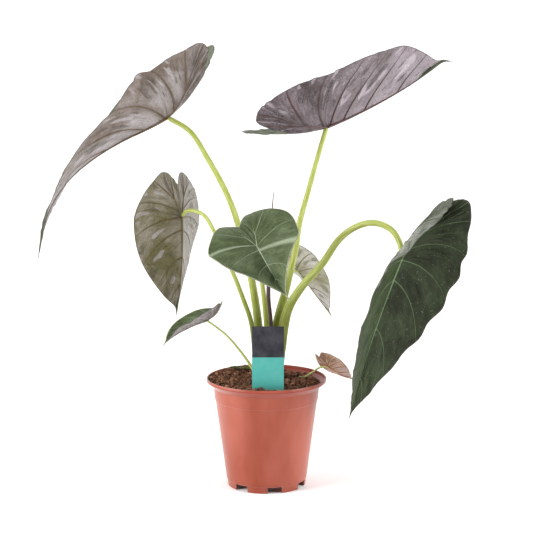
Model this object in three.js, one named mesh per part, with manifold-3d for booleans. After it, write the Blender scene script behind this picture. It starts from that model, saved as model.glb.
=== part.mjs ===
// Potted alocasia: eight leaves on their stalks and a furled new leaf, growing in a grow pot filled with soil,
// with a plant label. Millimetres, +Z up. The origin is the middle of the pot's underside, and the pot's front
// faces -Y.
import * as THREE from "three";
import Module from "manifold-3d";
import { mergeVertices } from "three/addons/utils/BufferGeometryUtils.js";

const wasm = await Module();
wasm.setup();

// Clearance kept between pieces that touch on the real plant.
const GAP = 0.3;

// Grow pot of thin plastic.
const POT_HEIGHT = 155;
const RIM_RADIUS = 85;
const LIP_HEIGHT = 5;
const LIP_WALL = 1.8;
const WALL = 1.4;
const FOOT_RADIUS = 55.5;
const FOOT_HEIGHT = 9.6;
const FOOT_STEP = 0.7;
const FLOOR_THICKNESS = 1.6;
const BODY_TOP = 124;
const BODY_TOP_RADIUS = 72.5;
const COLLAR_TOP = 143;
const COLLAR_TOP_RADIUS = 75;
const COLLAR_STEP = 0.8;
const FLANGE_TOP_RADIUS = 84.4;
const CENTRE_PAD_RADIUS = 10;
const NOTCH_COUNT = 7;
const NOTCH_WIDTH = 20.5;
const NOTCH_HEIGHT = 9;
const FIRST_NOTCH_ANGLE = -78.5; // degrees about +Z from +X, just right of the pot's front
const POT_SIDES = 56;

// Soil, heaped at the back left and low at the back right.
const SOIL_LEVEL = 150.5;
const HEAP_HEIGHT = 9;
const HEAP_X = -38;
const HEAP_Y = 36;
const HEAP_SPREAD = 33;
const SOIL_EDGE_HIGH = 152.6;
const SOIL_EDGE_LOW = 146.4;
const SOIL_LOW_SIDE = 25; // degrees about +Z, where the edge is lowest
const SOIL_RINGS = 12;

// Plant label.
const LABEL_WIDTH = 43.8;
const LABEL_TOP = 241.5;
const LABEL_THICKNESS = 0.8;
const LABEL_X = 2;
const LABEL_Y = -66;
const LABEL_SHOULDER = 147;
const STAKE_WIDTH = 16;
const STAKE_BOTTOM = 96;

// Blades.
const BLADE_THICKNESS = 0.9;
const STALK_ROOT = 118; // height at which the stalks end in the soil

// Each leaf: where its stalk meets the blade, the blade's lengths from there to the tip and to the ends of its back
// lobes, its half width, and its attitude in degrees. Attitudes in threes are at the lobes, at the stalk and at the
// tip. Heading is about +Z from +X, pitch above level, roll about the midrib. Above 1, late keeps their change for
// the tip, and early brings it close behind the stalk on the way to the lobes. fold is how far each half rises from
// flat, curl how far it bends on towards its margin. The stalk goes through its points from the soil up, with a
// radius at each end and a wing, the sheath at its foot, turned to wingSide.
const LEAVES = [
  {
    name: "upper_left",
    attach: [-141, 60, 519],
    length: 298, lobe: 121, halfWidth: 92, sinus: 0.65, drip: 0.16, droop: 10,
    heading: [172, 185], pitch: [-60, -24, -103], roll: [-28, -12, -22],
    fold: [29, 33, -16], curl: [42, 32, -17], skew: 16, asymmetry: 0.07, late: 2.5, early: 4.2,
    wave: -0.5, waves: 2, phase: -78, lag: 124, scallop: 0.06,
    rows: [15, 3, 5], columns: 4, puff: 2.2,
    stalk: [[-9, 8], [-12, 7, 229], [-22, 9, 298], [-40, 20, 371], [-56, 30, 413], [-82, 42, 460], [-109, 53, 500]],
    radius: [7, 3.6], wing: 2, wingSide: 60,
  },
  {
    name: "upper_right",
    attach: [86, 70, 505],
    length: 253, lobe: 117, halfWidth: 114, sinus: 0.47, drip: 0.14, droop: -38,
    heading: [24, 48], pitch: [0, 20, 27], roll: [19, 12, 16],
    fold: [33, 21, 60], curl: [-6, 1, 10], skew: 9, asymmetry: 0.01, late: 1.2, early: 4.2,
    wave: -0.6, waves: 1.6, phase: 196, lag: 101, scallop: -0.03,
    rows: [15, 3, 5], columns: 4, puff: 2.4,
    stalk: [[9, 12], [16, 12, 226], [29, 18, 283], [41, 30, 333], [47, 40, 370], [59, 50, 413], [72, 60, 459]],
    radius: [7.5, 3.4], wing: 3.5, wingSide: 200,
  },
  {
    name: "middle_left",
    attach: [-120, 30, 381],
    length: 146, lobe: 65, halfWidth: 77, sinus: 0.69, drip: 0.1, droop: 0,
    heading: [134, 123], pitch: [-114, -92, -73], roll: [13, 7, 15],
    fold: [8, 22, 40], curl: [10, -3, -7], skew: 2, asymmetry: 0.01, late: 1.3, early: 1,
    wave: -1, waves: 1.9, phase: -22, lag: 140, scallop: 0.01,
    rows: [13, 3, 5], columns: 4, puff: 1.8,
    stalk: [[-15, -6], [-21, -12, 234], [-32, -16, 269], [-48, -18, 311], [-71, -10, 361], [-86, 1, 385],
      [-99, 10, 391], [-112, 20, 390]],
    radius: [4.2, 2.6], wing: 0, wingSide: 0,
  },
  {
    name: "centre",
    attach: [-13, -110, 359],
    length: 108, lobe: 63, halfWidth: 64, sinus: 0.79, drip: 0.15, droop: 0,
    heading: [-58, -64], pitch: [1, -41, -25], roll: [-18, -27, -37],
    fold: [16, 7, 58], curl: [-1, 5, 39], skew: -1, asymmetry: 0.02, late: 1.3, early: 1,
    wave: 0.8, waves: 1.9, phase: -40, lag: 65, scallop: -0.03,
    rows: [12, 2, 4], columns: 3, puff: 1.4,
    stalk: [[-1, -13], [0, -20, 231], [-6, -50, 298], [-11, -76, 331]],
    radius: [4.8, 3], wing: 0, wingSide: 0,
  },
  {
    name: "right",
    attach: [183, -90, 340],
    length: 253, lobe: 129, halfWidth: 79, sinus: 0.71, drip: 0.07, droop: -4,
    heading: [-39, -40], pitch: [-141, -113, -104], roll: [-12, -20, 3],
    fold: [46, 16, 22], curl: [16, 38, 3], skew: 2, asymmetry: -0.02, late: 2, early: 1.5,
    wave: 1.5, waves: 4.5, phase: 26, lag: 37, scallop: 0.055,
    rows: [17, 3, 5], columns: 4, puff: 1.8,
    stalk: [[14, -7], [23, -10, 227], [31, -14, 258], [50, -22, 290], [77, -33, 323], [101, -43, 360],
      [124, -52, 378], [147, -62, 384], [169, -73, 376], [180, -82, 359]],
    radius: [8.5, 4], wing: 2, wingSide: 20,
  },
  {
    name: "back_right",
    attach: [47, 110, 289],
    length: 92, lobe: 53, halfWidth: 40, sinus: 0.61, drip: 0.13, droop: -10,
    heading: [32, 11], pitch: [-62, -51, -54], roll: [7, 15, 8],
    fold: [26, 17, 38], curl: [22, 11, -2], skew: 3, asymmetry: -0.05, late: 1.3, early: 1,
    wave: -0.8, waves: 1.4, phase: 27, lag: 100, scallop: -0.02,
    rows: [8, 2, 3], columns: 2, puff: 1,
    stalk: [[20, 23], [23, 40, 225], [27, 72, 275], [34, 97, 291]],
    radius: [2.2, 1.4], wing: 0, wingSide: 0,
  },
  {
    name: "lower_left",
    attach: [-83, -30, 243],
    length: 75, lobe: 36, halfWidth: 29, sinus: 0.54, drip: 0.11, droop: -41,
    heading: [162, 218], pitch: [-74, -22, -39], roll: [6, 6, 23],
    fold: [20, 24, 44], curl: [1, -10, 28], skew: -1, asymmetry: -0.05, late: 1.5, early: 1,
    wave: 3.4, waves: 1.1, phase: 39, lag: 128, scallop: -0.02,
    rows: [10, 2, 3], columns: 3, puff: 0.8,
    stalk: [[-9, -22], [-22, -22, 176], [-35, -22, 195], [-56, -26, 221]],
    radius: [3, 1.4], wing: 0, wingSide: 0,
  },
  {
    name: "lower_right",
    attach: [88, -10, 172],
    length: 43, lobe: 25, halfWidth: 22, sinus: 0.81, drip: 0.12, droop: 0,
    heading: [8, 19], pitch: [-59, -38, -15], roll: [37, 36, 35],
    fold: [23, 14, 26], curl: [0, 2, 17], skew: 1, asymmetry: 0.02, late: 1.3, early: 1,
    wave: 0.3, waves: 2, phase: 19, lag: 51, scallop: 0.01,
    rows: [7, 2, 2], columns: 2, puff: 0.6,
    stalk: [[46, 14], [53, 10, 152], [64, 4, 160], [76, -4, 170]],
    radius: [1.9, 1.3], wing: 0, wingSide: 0,
  },
];

// Furled new leaf in the middle of the stalks: its points and the radius at each.
const NEW_LEAF = {
  path: [[-1, -1, STALK_ROOT], [2, 0, 190], [6, -1, 229], [3, -4, 267], [3, -6, 290], [6, -9, 350], [8, -10, 397],
    [10, -10, 420]],
  radii: [3.4, 3.4, 3.3, 3.2, 3.1, 2.6, 1.3, 0.5],
};

// Small spent leaf lying on the soil at the left.
const SPENT_LEAF = { x: -30, y: 27, length: 46, width: 13, angle: -10, thickness: 1.2, rise: 0.5 };

const material = (color, roughness) => new THREE.MeshStandardMaterial({ color, roughness, metalness: 0 });
const MATERIALS = {
  terracottaPlastic: material(0xc0614a, 0.42),
  soil: material(0x3a251a, 0.95),
  label: material(0x2c2d36, 0.5),
  bladeDark: material(0x3f5540, 0.45),
  bladeGreyPurple: material(0x75685f, 0.45),
  bladeBrown: material(0x8a5a48, 0.5),
  stalk: material(0xa9b64e, 0.5),
  newLeaf: material(0x4a2c35, 0.45),
  spentLeaf: material(0x4c4a1f, 0.7),
};
const BLADE_MATERIAL = {
  centre: MATERIALS.bladeDark,
  right: MATERIALS.bladeDark,
  lower_left: MATERIALS.bladeDark,
  lower_right: MATERIALS.bladeBrown,
};

const radians = THREE.MathUtils.degToRad;
const clamp01 = (value) => THREE.MathUtils.clamp(value, 0, 1);

// A closed geometry as a solid, turned so that its faces point out.
function solidOf(geometry) {
  const bare = geometry.clone();
  bare.deleteAttribute("normal");
  bare.deleteAttribute("uv");
  const merged = mergeVertices(bare, 1e-4);
  const triVerts = new Uint32Array(merged.index.array);
  const vertProperties = new Float32Array(merged.attributes.position.array);
  const made = new wasm.Manifold(new wasm.Mesh({ numProp: 3, vertProperties, triVerts }));
  if (made.volume() > 0) return made;
  for (let i = 0; i < triVerts.length; i += 3) {
    const swapped = triVerts[i + 1];
    triVerts[i + 1] = triVerts[i + 2];
    triVerts[i + 2] = swapped;
  }
  return new wasm.Manifold(new wasm.Mesh({ numProp: 3, vertProperties, triVerts }));
}

// The largest body of a solid, as a geometry: scraps that a cut leaves are dropped.
function geometryOf(solid) {
  const bodies = solid.decompose().sort((a, b) => b.volume() - a.volume());
  const mesh = bodies[0].getMesh();
  const positions = new Float32Array(mesh.numVert * 3);
  for (let i = 0; i < mesh.numVert; i++) {
    positions.set(mesh.vertProperties.subarray(i * mesh.numProp, i * mesh.numProp + 3), i * 3);
  }
  const geometry = new THREE.BufferGeometry();
  geometry.setAttribute("position", new THREE.BufferAttribute(positions, 3));
  geometry.setIndex(new THREE.BufferAttribute(mesh.triVerts, 1));
  geometry.computeVertexNormals();
  return geometry;
}

function geometryFrom(points, faces) {
  const geometry = new THREE.BufferGeometry();
  geometry.setAttribute("position", new THREE.Float32BufferAttribute(points.flatMap((p) => [p.x, p.y, p.z]), 3));
  geometry.setIndex(faces.flat());
  return geometry;
}

// Radius of the pot's inner face at a height, worked out from the outer face and the wall.
const INNER_FACE = [
  [FOOT_RADIUS + FOOT_STEP - WALL + 0.6, FOOT_HEIGHT + FLOOR_THICKNESS],
  [BODY_TOP_RADIUS - WALL, BODY_TOP],
  [COLLAR_TOP_RADIUS - WALL, COLLAR_TOP + 1],
  [RIM_RADIUS - LIP_WALL - 0.4, POT_HEIGHT - LIP_HEIGHT + 1],
  [RIM_RADIUS - LIP_WALL, POT_HEIGHT],
];
function innerRadius(z) {
  const next = INNER_FACE.findIndex(([, height]) => height >= z);
  if (next <= 0) return INNER_FACE[0][0];
  const [r0, z0] = INNER_FACE[next - 1];
  const [r1, z1] = INNER_FACE[next];
  return THREE.MathUtils.mapLinear(z, z0, z1, r0, r1);
}

// Pot: a turned shell with a step above the foot ring, a collar, a sloped flange and an upright lip. Seven notches
// cut the foot ring, and a small pad under the middle of the floor stands level with the ring.
function makePot() {
  const outer = [
    [0, 0],
    [CENTRE_PAD_RADIUS, 0],
    [CENTRE_PAD_RADIUS + 0.8, FOOT_HEIGHT],
    [FOOT_RADIUS - WALL - 0.4, FOOT_HEIGHT],
    [FOOT_RADIUS - WALL - 0.6, 0],
    [FOOT_RADIUS, 0],
    [FOOT_RADIUS + 1, FOOT_HEIGHT - 0.3],
    [FOOT_RADIUS + 1 + FOOT_STEP, FOOT_HEIGHT + 0.2],
    [BODY_TOP_RADIUS, BODY_TOP],
    [BODY_TOP_RADIUS + COLLAR_STEP, BODY_TOP + 0.6],
    [COLLAR_TOP_RADIUS, COLLAR_TOP - 1],
    [COLLAR_TOP_RADIUS + 0.8, COLLAR_TOP],
    [FLANGE_TOP_RADIUS, POT_HEIGHT - LIP_HEIGHT],
    [RIM_RADIUS, POT_HEIGHT - LIP_HEIGHT + 0.8],
    [RIM_RADIUS, POT_HEIGHT - 0.6],
    [RIM_RADIUS - 0.6, POT_HEIGHT],
  ];
  const inner = [...INNER_FACE].reverse();
  const floorTop = FOOT_HEIGHT + FLOOR_THICKNESS;
  const profile = [...outer, ...inner, [0, floorTop]].map(([r, z]) => new THREE.Vector2(r, z));
  const turned = new THREE.LatheGeometry(profile, POT_SIDES).rotateX(Math.PI / 2);
  let pot = solidOf(turned);
  for (let i = 0; i < NOTCH_COUNT; i++) {
    const angle = radians(FIRST_NOTCH_ANGLE + (i * 360) / NOTCH_COUNT);
    const notch = new THREE.BoxGeometry(3 * (FOOT_RADIUS - CENTRE_PAD_RADIUS) / 4, NOTCH_WIDTH, 2 * NOTCH_HEIGHT);
    notch.translate(FOOT_RADIUS, 0, 0).rotateZ(angle);
    pot = pot.subtract(solidOf(notch));
  }
  return geometryOf(pot);
}

// Height of the soil's surface, with its heap and small clods.
function soilHeight(x, y) {
  const away = ((x - HEAP_X) ** 2 + (y - HEAP_Y) ** 2) / (2 * HEAP_SPREAD ** 2);
  const clods = 0.9 * Math.sin(0.23 * x + 0.11 * y) * Math.cos(0.19 * y - 0.07 * x);
  const crumbs = 0.6 * Math.sin(0.41 * x + 0.6) * Math.sin(0.37 * y + 1);
  return SOIL_LEVEL + HEAP_HEIGHT * Math.exp(-away) + clods + crumbs;
}

// Soil: it fills the pot up to its heaped surface, a gap clear of the wall.
function soilSolid() {
  const points = [new THREE.Vector3(0, 0, soilHeight(0, 0))];
  const wallHeights = [COLLAR_TOP + 1.2, BODY_TOP, FOOT_HEIGHT + FLOOR_THICKNESS + GAP];
  const rings = SOIL_RINGS + wallHeights.length;
  for (let ring = 1; ring <= rings; ring++) {
    for (let side = 0; side < POT_SIDES; side++) {
      const angle = (side / POT_SIDES) * 2 * Math.PI;
      const low = 0.5 + 0.5 * Math.cos(angle - radians(SOIL_LOW_SIDE));
      const edge = THREE.MathUtils.lerp(SOIL_EDGE_HIGH, SOIL_EDGE_LOW, low ** 1.5);
      if (ring <= SOIL_RINGS) {
        const share = ring / SOIL_RINGS;
        const reach = (innerRadius(edge) - 1.5 * GAP) * share;
        const x = reach * Math.cos(angle);
        const y = reach * Math.sin(angle);
        const z = THREE.MathUtils.lerp(soilHeight(x, y), edge, share ** 6);
        points.push(new THREE.Vector3(x, y, z));
      } else {
        const z = wallHeights[ring - SOIL_RINGS - 1];
        const reach = innerRadius(z) - 1.5 * GAP;
        points.push(new THREE.Vector3(reach * Math.cos(angle), reach * Math.sin(angle), z));
      }
    }
  }
  const bottom = points.push(new THREE.Vector3(0, 0, wallHeights.at(-1))) - 1;
  const at = (ring, side) => 1 + (ring - 1) * POT_SIDES + (side % POT_SIDES);
  const faces = [];
  for (let side = 0; side < POT_SIDES; side++) {
    faces.push([0, at(1, side), at(1, side + 1)]);
    for (let ring = 1; ring < rings; ring++) {
      faces.push([at(ring, side), at(ring + 1, side), at(ring + 1, side + 1)]);
      faces.push([at(ring, side), at(ring + 1, side + 1), at(ring, side + 1)]);
    }
    faces.push([at(rings, side), bottom, at(rings, side + 1)]);
  }
  return solidOf(geometryFrom(points, faces));
}

// A round stalk through given points, with a radius at each share of its length. extra widens it all round.
function stalkSolid(path, radiusAt, { extra = 0, sides = 10, steps = 22, wing = 0, wingSide = 0 } = {}) {
  const curve = new THREE.CatmullRomCurve3(path.map((p) => new THREE.Vector3(...p)), false, "centripetal");
  const centres = curve.getSpacedPoints(steps);
  const frames = curve.computeFrenetFrames(steps);
  const outward = new THREE.Vector3(Math.cos(radians(wingSide)), Math.sin(radians(wingSide)), 0);
  const points = [];
  centres.forEach((centre, i) => {
    const share = i / steps;
    const sheath = wing * clamp01(1 - Math.abs(share - 0.22) / 0.24);
    for (let side = 0; side < sides; side++) {
      const angle = (side / sides) * 2 * Math.PI;
      const spoke = frames.normals[i].clone().multiplyScalar(Math.cos(angle));
      spoke.addScaledVector(frames.binormals[i], Math.sin(angle));
      const radius = radiusAt(share) + extra + sheath * Math.max(0, spoke.dot(outward)) ** 2;
      points.push(centre.clone().addScaledVector(spoke, radius));
    }
  });
  const foot = points.push(centres[0].clone().addScaledVector(frames.tangents[0], -extra)) - 1;
  const tip = points.push(centres[steps].clone().addScaledVector(frames.tangents[steps], extra)) - 1;
  const at = (i, side) => i * sides + (side % sides);
  const faces = [];
  for (let side = 0; side < sides; side++) {
    for (let i = 0; i < steps; i++) {
      faces.push([at(i, side), at(i, side + 1), at(i + 1, side + 1)]);
      faces.push([at(i, side), at(i + 1, side + 1), at(i + 1, side)]);
    }
    faces.push([foot, at(0, side + 1), at(0, side)]);
    faces.push([tip, at(steps, side), at(steps, side + 1)]);
  }
  return solidOf(geometryFrom(points, faces));
}

// Value at a share of the way to the tip (positive) or to the lobes (negative), from its values at lobes, stalk, tip.
function along([lobes, base, tip], share) {
  return base + (tip - base) * clamp01(share) + (lobes - base) * clamp01(-share);
}

// Outline of half a blade as [along, across], in shares of the tip length, or of the lobe length where negative,
// and of the half width: from the tip round the side and the back lobe to the bottom of the sinus.
function outlineOf({ drip, sinus }) {
  return [
    [1, 0],
    [1 - 0.46 * drip, 0.016],
    [1 - drip, 0.075],
    [0.89 - drip, 0.31],
    [0.6 - 0.3 * drip, 0.64],
    [0.3, 0.9],
    [0.04, 1],
    [-0.3, 0.95],
    [-0.66, 0.74],
    [-0.92, 0.46],
    [-1, 0.3],
    [-0.93, 0.15],
    [-sinus, 0],
  ];
}
const SHOULDER = 5; // outline steps from the tip to the shoulder
const SIDE = 6.4; // to where the lobe's own rib takes over
const LOBE_END = 10; // to the lobe's end
const SINUS = 12; // to the bottom of the sinus
const RIB_SHARE = 0.8; // share of the lobe that its rib reaches
const VEINS = [0, 1.9, 2.7, 3.5, 4.3, 5.1, 6, 7.3, 8.7, 10, 12]; // outline steps where side veins end

function outlineAt(outline, step) {
  const last = outline.length - 1;
  const i = Math.min(Math.floor(step), last - 1);
  const t = step - i;
  const pick = (k) => outline[THREE.MathUtils.clamp(k, 0, last)];
  const blend = (axis) => {
    const [p0, p1, p2, p3] = [pick(i - 1)[axis], pick(i)[axis], pick(i + 1)[axis], pick(i + 2)[axis]];
    const cubic = 3 * (p1 - p2) + p3 - p0;
    const square = 2 * p0 - 5 * p1 + 4 * p2 - p3;
    return 0.5 * (2 * p1 + (p2 - p0) * t + square * t * t + cubic * t ** 3);
  };
  return [blend(0), Math.max(blend(1), 0)];
}

// Rows of half a blade: the outline step where each ends, and how far out on the lobe's rib it starts.
function rowsOf([front, side, lobe]) {
  const rows = [];
  for (let i = 0; i <= front; i++) rows.push({ step: (SHOULDER * i) / front, rib: 0 });
  for (let i = 1; i <= side; i++) rows.push({ step: SHOULDER + ((SIDE - SHOULDER) * i) / side, rib: 0 });
  for (let i = 1; i <= lobe; i++) {
    rows.push({ step: SIDE + ((LOBE_END - SIDE) * i) / lobe, rib: RIB_SHARE * (i / lobe) ** 1.2 });
  }
  for (let i = lobe - 1; i >= 0; i--) {
    const back = (i / lobe) ** 1.2;
    rows.push({ step: LOBE_END + (SINUS - LOBE_END) * (1 - back), rib: RIB_SHARE * back, inner: true });
  }
  return rows;
}

// Places and directions along a blade's midrib, from the ends of the lobes to the tip.
function midribOf(leaf, steps = 40) {
  const stations = [];
  for (let i = -steps; i <= steps; i++) {
    const share = i / steps;
    const turned = share > 0 ? share ** leaf.late : (1 + share) ** leaf.early - 1;
    const heading = radians(along([leaf.heading[0], ...leaf.heading], turned));
    const hang = THREE.MathUtils.smoothstep(share, 1 - leaf.drip, 1) * leaf.droop;
    const pitch = radians(along(leaf.pitch, turned) + hang);
    const roll = radians(along(leaf.roll, turned));
    const ahead = new THREE.Vector3(Math.cos(pitch), 0, Math.sin(pitch));
    const above = new THREE.Vector3(-Math.sin(pitch), 0, Math.cos(pitch));
    ahead.applyAxisAngle(new THREE.Vector3(0, 0, 1), heading);
    above.applyAxisAngle(new THREE.Vector3(0, 0, 1), heading);
    const right = ahead.clone().cross(above);
    const up = above.clone().multiplyScalar(Math.cos(roll)).addScaledVector(right, -Math.sin(roll));
    right.multiplyScalar(Math.cos(roll)).addScaledVector(above, Math.sin(roll));
    stations.push({ share, ahead, up, right, place: new THREE.Vector3() });
  }
  for (const direction of [1, -1]) {
    const step = (direction > 0 ? leaf.length : leaf.lobe) / steps;
    for (let i = 1; i <= steps; i++) {
      const here = stations[steps + direction * i];
      const before = stations[steps + direction * (i - 1)];
      const move = here.ahead.clone().add(before.ahead).multiplyScalar((direction * step) / 2);
      here.place.copy(before.place).add(move);
    }
  }
  return (share) => {
    const position = (clamp01((share + 1) / 2)) * 2 * steps;
    const i = Math.min(Math.floor(position), 2 * steps - 1);
    const mix = (key) => stations[i][key].clone().lerp(stations[i + 1][key], position - i);
    return { place: mix("place"), up: mix("up"), right: mix("right") };
  };
}

// The middle surface of a blade: points shared along the midrib and ribs, and triangles between them.
function bladeSurface(leaf) {
  const outline = outlineOf(leaf);
  const midrib = midribOf(leaf);
  const attach = new THREE.Vector3(...leaf.attach);
  const rows = rowsOf(leaf.rows);
  const points = [];
  const faces = [];
  const index = new Map();
  const shared = (point) => {
    const key = [point.x, point.y, point.z].map((value) => value.toFixed(3)).join();
    if (!index.has(key)) index.set(key, points.push(point) - 1);
    return index.get(key);
  };
  for (const side of [1, -1]) {
    const halfWidth = leaf.halfWidth * (1 + leaf.asymmetry * side);
    const turn = radians(leaf.phase + (side > 0 ? 0 : leaf.lag));
    const grid = rows.map(({ step, rib, inner }) => {
      const [marginAlong, marginAcross] = outlineAt(outline, step);
      const marginA = marginAlong * (marginAlong > 0 ? leaf.length : leaf.lobe);
      const marginB = marginAcross * leaf.halfWidth;
      const spineA = rib > 0
        ? -0.86 * leaf.lobe * rib
        : leaf.length * clamp01((marginAlong - 0.3) / 0.7) ** 2;
      const spineB = 0.3 * leaf.halfWidth * rib;
      const [bendA, bendB] = inner ? [0.5, 0.5] : [0.4, 0.56];
      const bay = VEINS.findIndex((vein) => vein >= step - 1e-9);
      const bayStart = VEINS[Math.max(bay - 1, 0)];
      const inBay = bay > 0 ? (step - bayStart) / (VEINS[bay] - bayStart) : 0;
      const ripple = 2 * Math.PI * leaf.waves;
      return Array.from({ length: leaf.columns + 1 }, (_, column) => {
        const out = column / leaf.columns;
        const arc = (start, end, bend) => {
          const knee = start + (end - start) * bend;
          return (1 - out) ** 2 * start + 2 * out * (1 - out) * knee + out * out * end;
        };
        const a = arc(spineA, marginA, bendA);
        const cut = Math.sin((ripple * marginA) / leaf.length + turn + 0.6);
        const fade = clamp01((leaf.length - marginA) / (0.2 * leaf.length));
        const b = arc(spineB, marginB, bendB) * (1 + leaf.asymmetry * side)
          * (1 + leaf.scallop * out * out * cut * fade);
        const share = a > 0 ? a / leaf.length : a / leaf.lobe;
        const across = b / halfWidth;
        const fold = radians(along(leaf.fold, share) + leaf.skew * side);
        const curl = radians(along(leaf.curl, share)) || 1e-4;
        const bent = fold + curl * across;
        const reach = (halfWidth * (Math.sin(bent) - Math.sin(fold))) / curl;
        const rise = (halfWidth * (Math.cos(fold) - Math.cos(bent))) / curl;
        const wave = leaf.wave * clamp01(across) ** 2 * Math.sin((ripple * a) / leaf.length + turn)
          * clamp01(4 * (1 - Math.max(share, 0)));
        const puff = leaf.puff * Math.sin(Math.PI * inBay) ** 2 * Math.sin(Math.PI * clamp01(out)) ** 0.8;
        const lift = wave + puff;
        const frame = midrib(share);
        const point = attach.clone().add(frame.place);
        point.addScaledVector(frame.right, side * (reach - Math.sin(bent) * lift));
        point.addScaledVector(frame.up, rise + Math.cos(bent) * lift);
        return shared(point);
      });
    });
    for (let row = 0; row + 1 < grid.length; row++) {
      for (let column = 0; column < leaf.columns; column++) {
        const corners = [grid[row][column], grid[row + 1][column], grid[row + 1][column + 1], grid[row][column + 1]];
        const [p, q, r, s] = side > 0 ? corners : [corners[0], corners[3], corners[2], corners[1]];
        for (const face of [[p, q, r], [p, r, s]]) {
          if (new Set(face).size === 3) faces.push(face);
        }
      }
    }
  }
  return { points, faces };
}

// A surface thickened evenly to both sides, split into triangles alike on both faces and walled along its edge.
function thicken({ points, faces }, thickness) {
  const normals = points.map(() => new THREE.Vector3());
  const edges = new Map();
  for (const face of faces) {
    const [p, q, r] = face.map((i) => points[i]);
    const normal = q.clone().sub(p).cross(r.clone().sub(p));
    face.forEach((i, corner) => {
      normals[i].add(normal);
      const next = face[(corner + 1) % 3];
      if (edges.has(next + "," + i)) edges.delete(next + "," + i);
      else edges.set(i + "," + next, [i, next]);
    });
  }
  normals.forEach((normal) => normal.normalize());
  const count = points.length;
  const shifted = (distance) => points.map((point, i) => point.clone().addScaledVector(normals[i], distance));
  const solidPoints = [...shifted(thickness / 2), ...shifted(-thickness / 2)];
  const solidFaces = [
    ...faces,
    ...faces.map(([p, q, r]) => [p + count, r + count, q + count]),
  ];
  for (const [from, to] of edges.values()) {
    solidFaces.push([to, from, from + count], [to, from + count, to + count]);
  }
  return solidOf(geometryFrom(solidPoints, solidFaces));
}

// Stalk of one leaf, from the soil to the underside of its blade, which trims its end.
function leafStalk(leaf, extra = 0) {
  const [foot, ...rest] = leaf.stalk;
  const path = [[...foot, STALK_ROOT], [...foot, SOIL_LEVEL], ...rest, leaf.attach];
  const [wide, slim] = leaf.radius;
  const radiusAt = (share) => THREE.MathUtils.lerp(slim, wide, (1 - share) ** 1.6);
  const sides = wide > 3 ? 12 : 8;
  return stalkSolid(path, radiusAt, { extra, sides, wing: leaf.wing, wingSide: leaf.wingSide });
}

function newLeafSolid(extra = 0) {
  const { path, radii } = NEW_LEAF;
  const radiusAt = (share) => {
    const position = share * (radii.length - 1);
    const i = Math.min(Math.floor(position), radii.length - 2);
    return THREE.MathUtils.lerp(radii[i], radii[i + 1], position - i);
  };
  return stalkSolid(path, radiusAt, { extra, sides: 10, steps: 18 });
}

// Label: a flat card whose foot narrows below the soil to a pointed stake.
function labelSolid(extra = 0) {
  const half = LABEL_WIDTH / 2 + extra;
  const stake = STAKE_WIDTH / 2 + extra;
  const card = new THREE.Shape();
  card.moveTo(-half, LABEL_TOP);
  card.lineTo(-half, LABEL_SHOULDER);
  card.lineTo(-stake, LABEL_SHOULDER - 6);
  card.lineTo(-stake * 0.8, STAKE_BOTTOM + 10);
  card.lineTo(0, STAKE_BOTTOM - extra);
  card.lineTo(stake * 0.8, STAKE_BOTTOM + 10);
  card.lineTo(stake, LABEL_SHOULDER - 6);
  card.lineTo(half, LABEL_SHOULDER);
  card.lineTo(half, LABEL_TOP);
  const depth = LABEL_THICKNESS + 2 * extra;
  const sheet = new THREE.ExtrudeGeometry(card, { depth, bevelEnabled: false });
  sheet.translate(0, 0, -depth / 2).rotateX(Math.PI / 2).translate(LABEL_X, LABEL_Y, 0);
  return solidOf(sheet);
}

// Spent leaf: a narrow pointed blade that lies on the soil and follows it.
function spentLeafSolid() {
  const { x, y, length, width, angle, thickness, rise } = SPENT_LEAF;
  const rows = 10;
  const columns = 4;
  const points = [];
  const faces = [];
  for (let row = 0; row <= rows; row++) {
    const share = row / rows;
    const half = (width / 2) * Math.sin(Math.PI * (0.12 + 0.86 * share)) ** 0.8;
    for (let column = 0; column <= columns; column++) {
      const across = (2 * column) / columns - 1;
      const flat = new THREE.Vector3((share - 0.5) * length, across * half, 0);
      flat.applyAxisAngle(new THREE.Vector3(0, 0, 1), radians(angle));
      const px = x + flat.x;
      const py = y + flat.y;
      points.push(new THREE.Vector3(px, py, soilHeight(px, py) + rise + thickness / 2 + 1.2 * across * across));
    }
  }
  const at = (row, column) => row * (columns + 1) + column;
  for (let row = 0; row < rows; row++) {
    for (let column = 0; column < columns; column++) {
      faces.push([at(row, column), at(row + 1, column), at(row + 1, column + 1)]);
      faces.push([at(row, column), at(row + 1, column + 1), at(row, column + 1)]);
    }
  }
  return thicken({ points, faces }, thickness);
}

const plant = new THREE.Group();
plant.name = "potted_alocasia";

function add(parent, name, geometry, looks) {
  const mesh = new THREE.Mesh(geometry, looks);
  mesh.name = name;
  parent.add(mesh);
}

const holder = new THREE.Group();
plant.add(holder);
add(holder, "pot", makePot(), MATERIALS.terracottaPlastic);

let soil = soilSolid();
soil = soil.subtract(labelSolid(GAP));
soil = soil.subtract(newLeafSolid(GAP));
for (const leaf of LEAVES) soil = soil.subtract(leafStalk(leaf, GAP));
add(holder, "soil", geometryOf(soil), MATERIALS.soil);
add(holder, "plant_label", geometryOf(labelSolid()), MATERIALS.label);

const foliage = new THREE.Group();
plant.add(foliage);
for (const leaf of LEAVES) {
  const surface = bladeSurface(leaf);
  const clearance = thicken(surface, BLADE_THICKNESS + 2 * GAP);
  const looks = BLADE_MATERIAL[leaf.name] ?? MATERIALS.bladeGreyPurple;
  const sprig = new THREE.Group();
  add(sprig, "blade_" + leaf.name, geometryOf(thicken(surface, BLADE_THICKNESS)), looks);
  add(sprig, "stalk_" + leaf.name, geometryOf(leafStalk(leaf).subtract(clearance)), MATERIALS.stalk);
  foliage.add(sprig);
}
add(foliage, "new_leaf_furled", geometryOf(newLeafSolid()), MATERIALS.newLeaf);
add(foliage, "spent_leaf", geometryOf(spentLeafSolid()), MATERIALS.spentLeaf);

export default plant;
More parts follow.
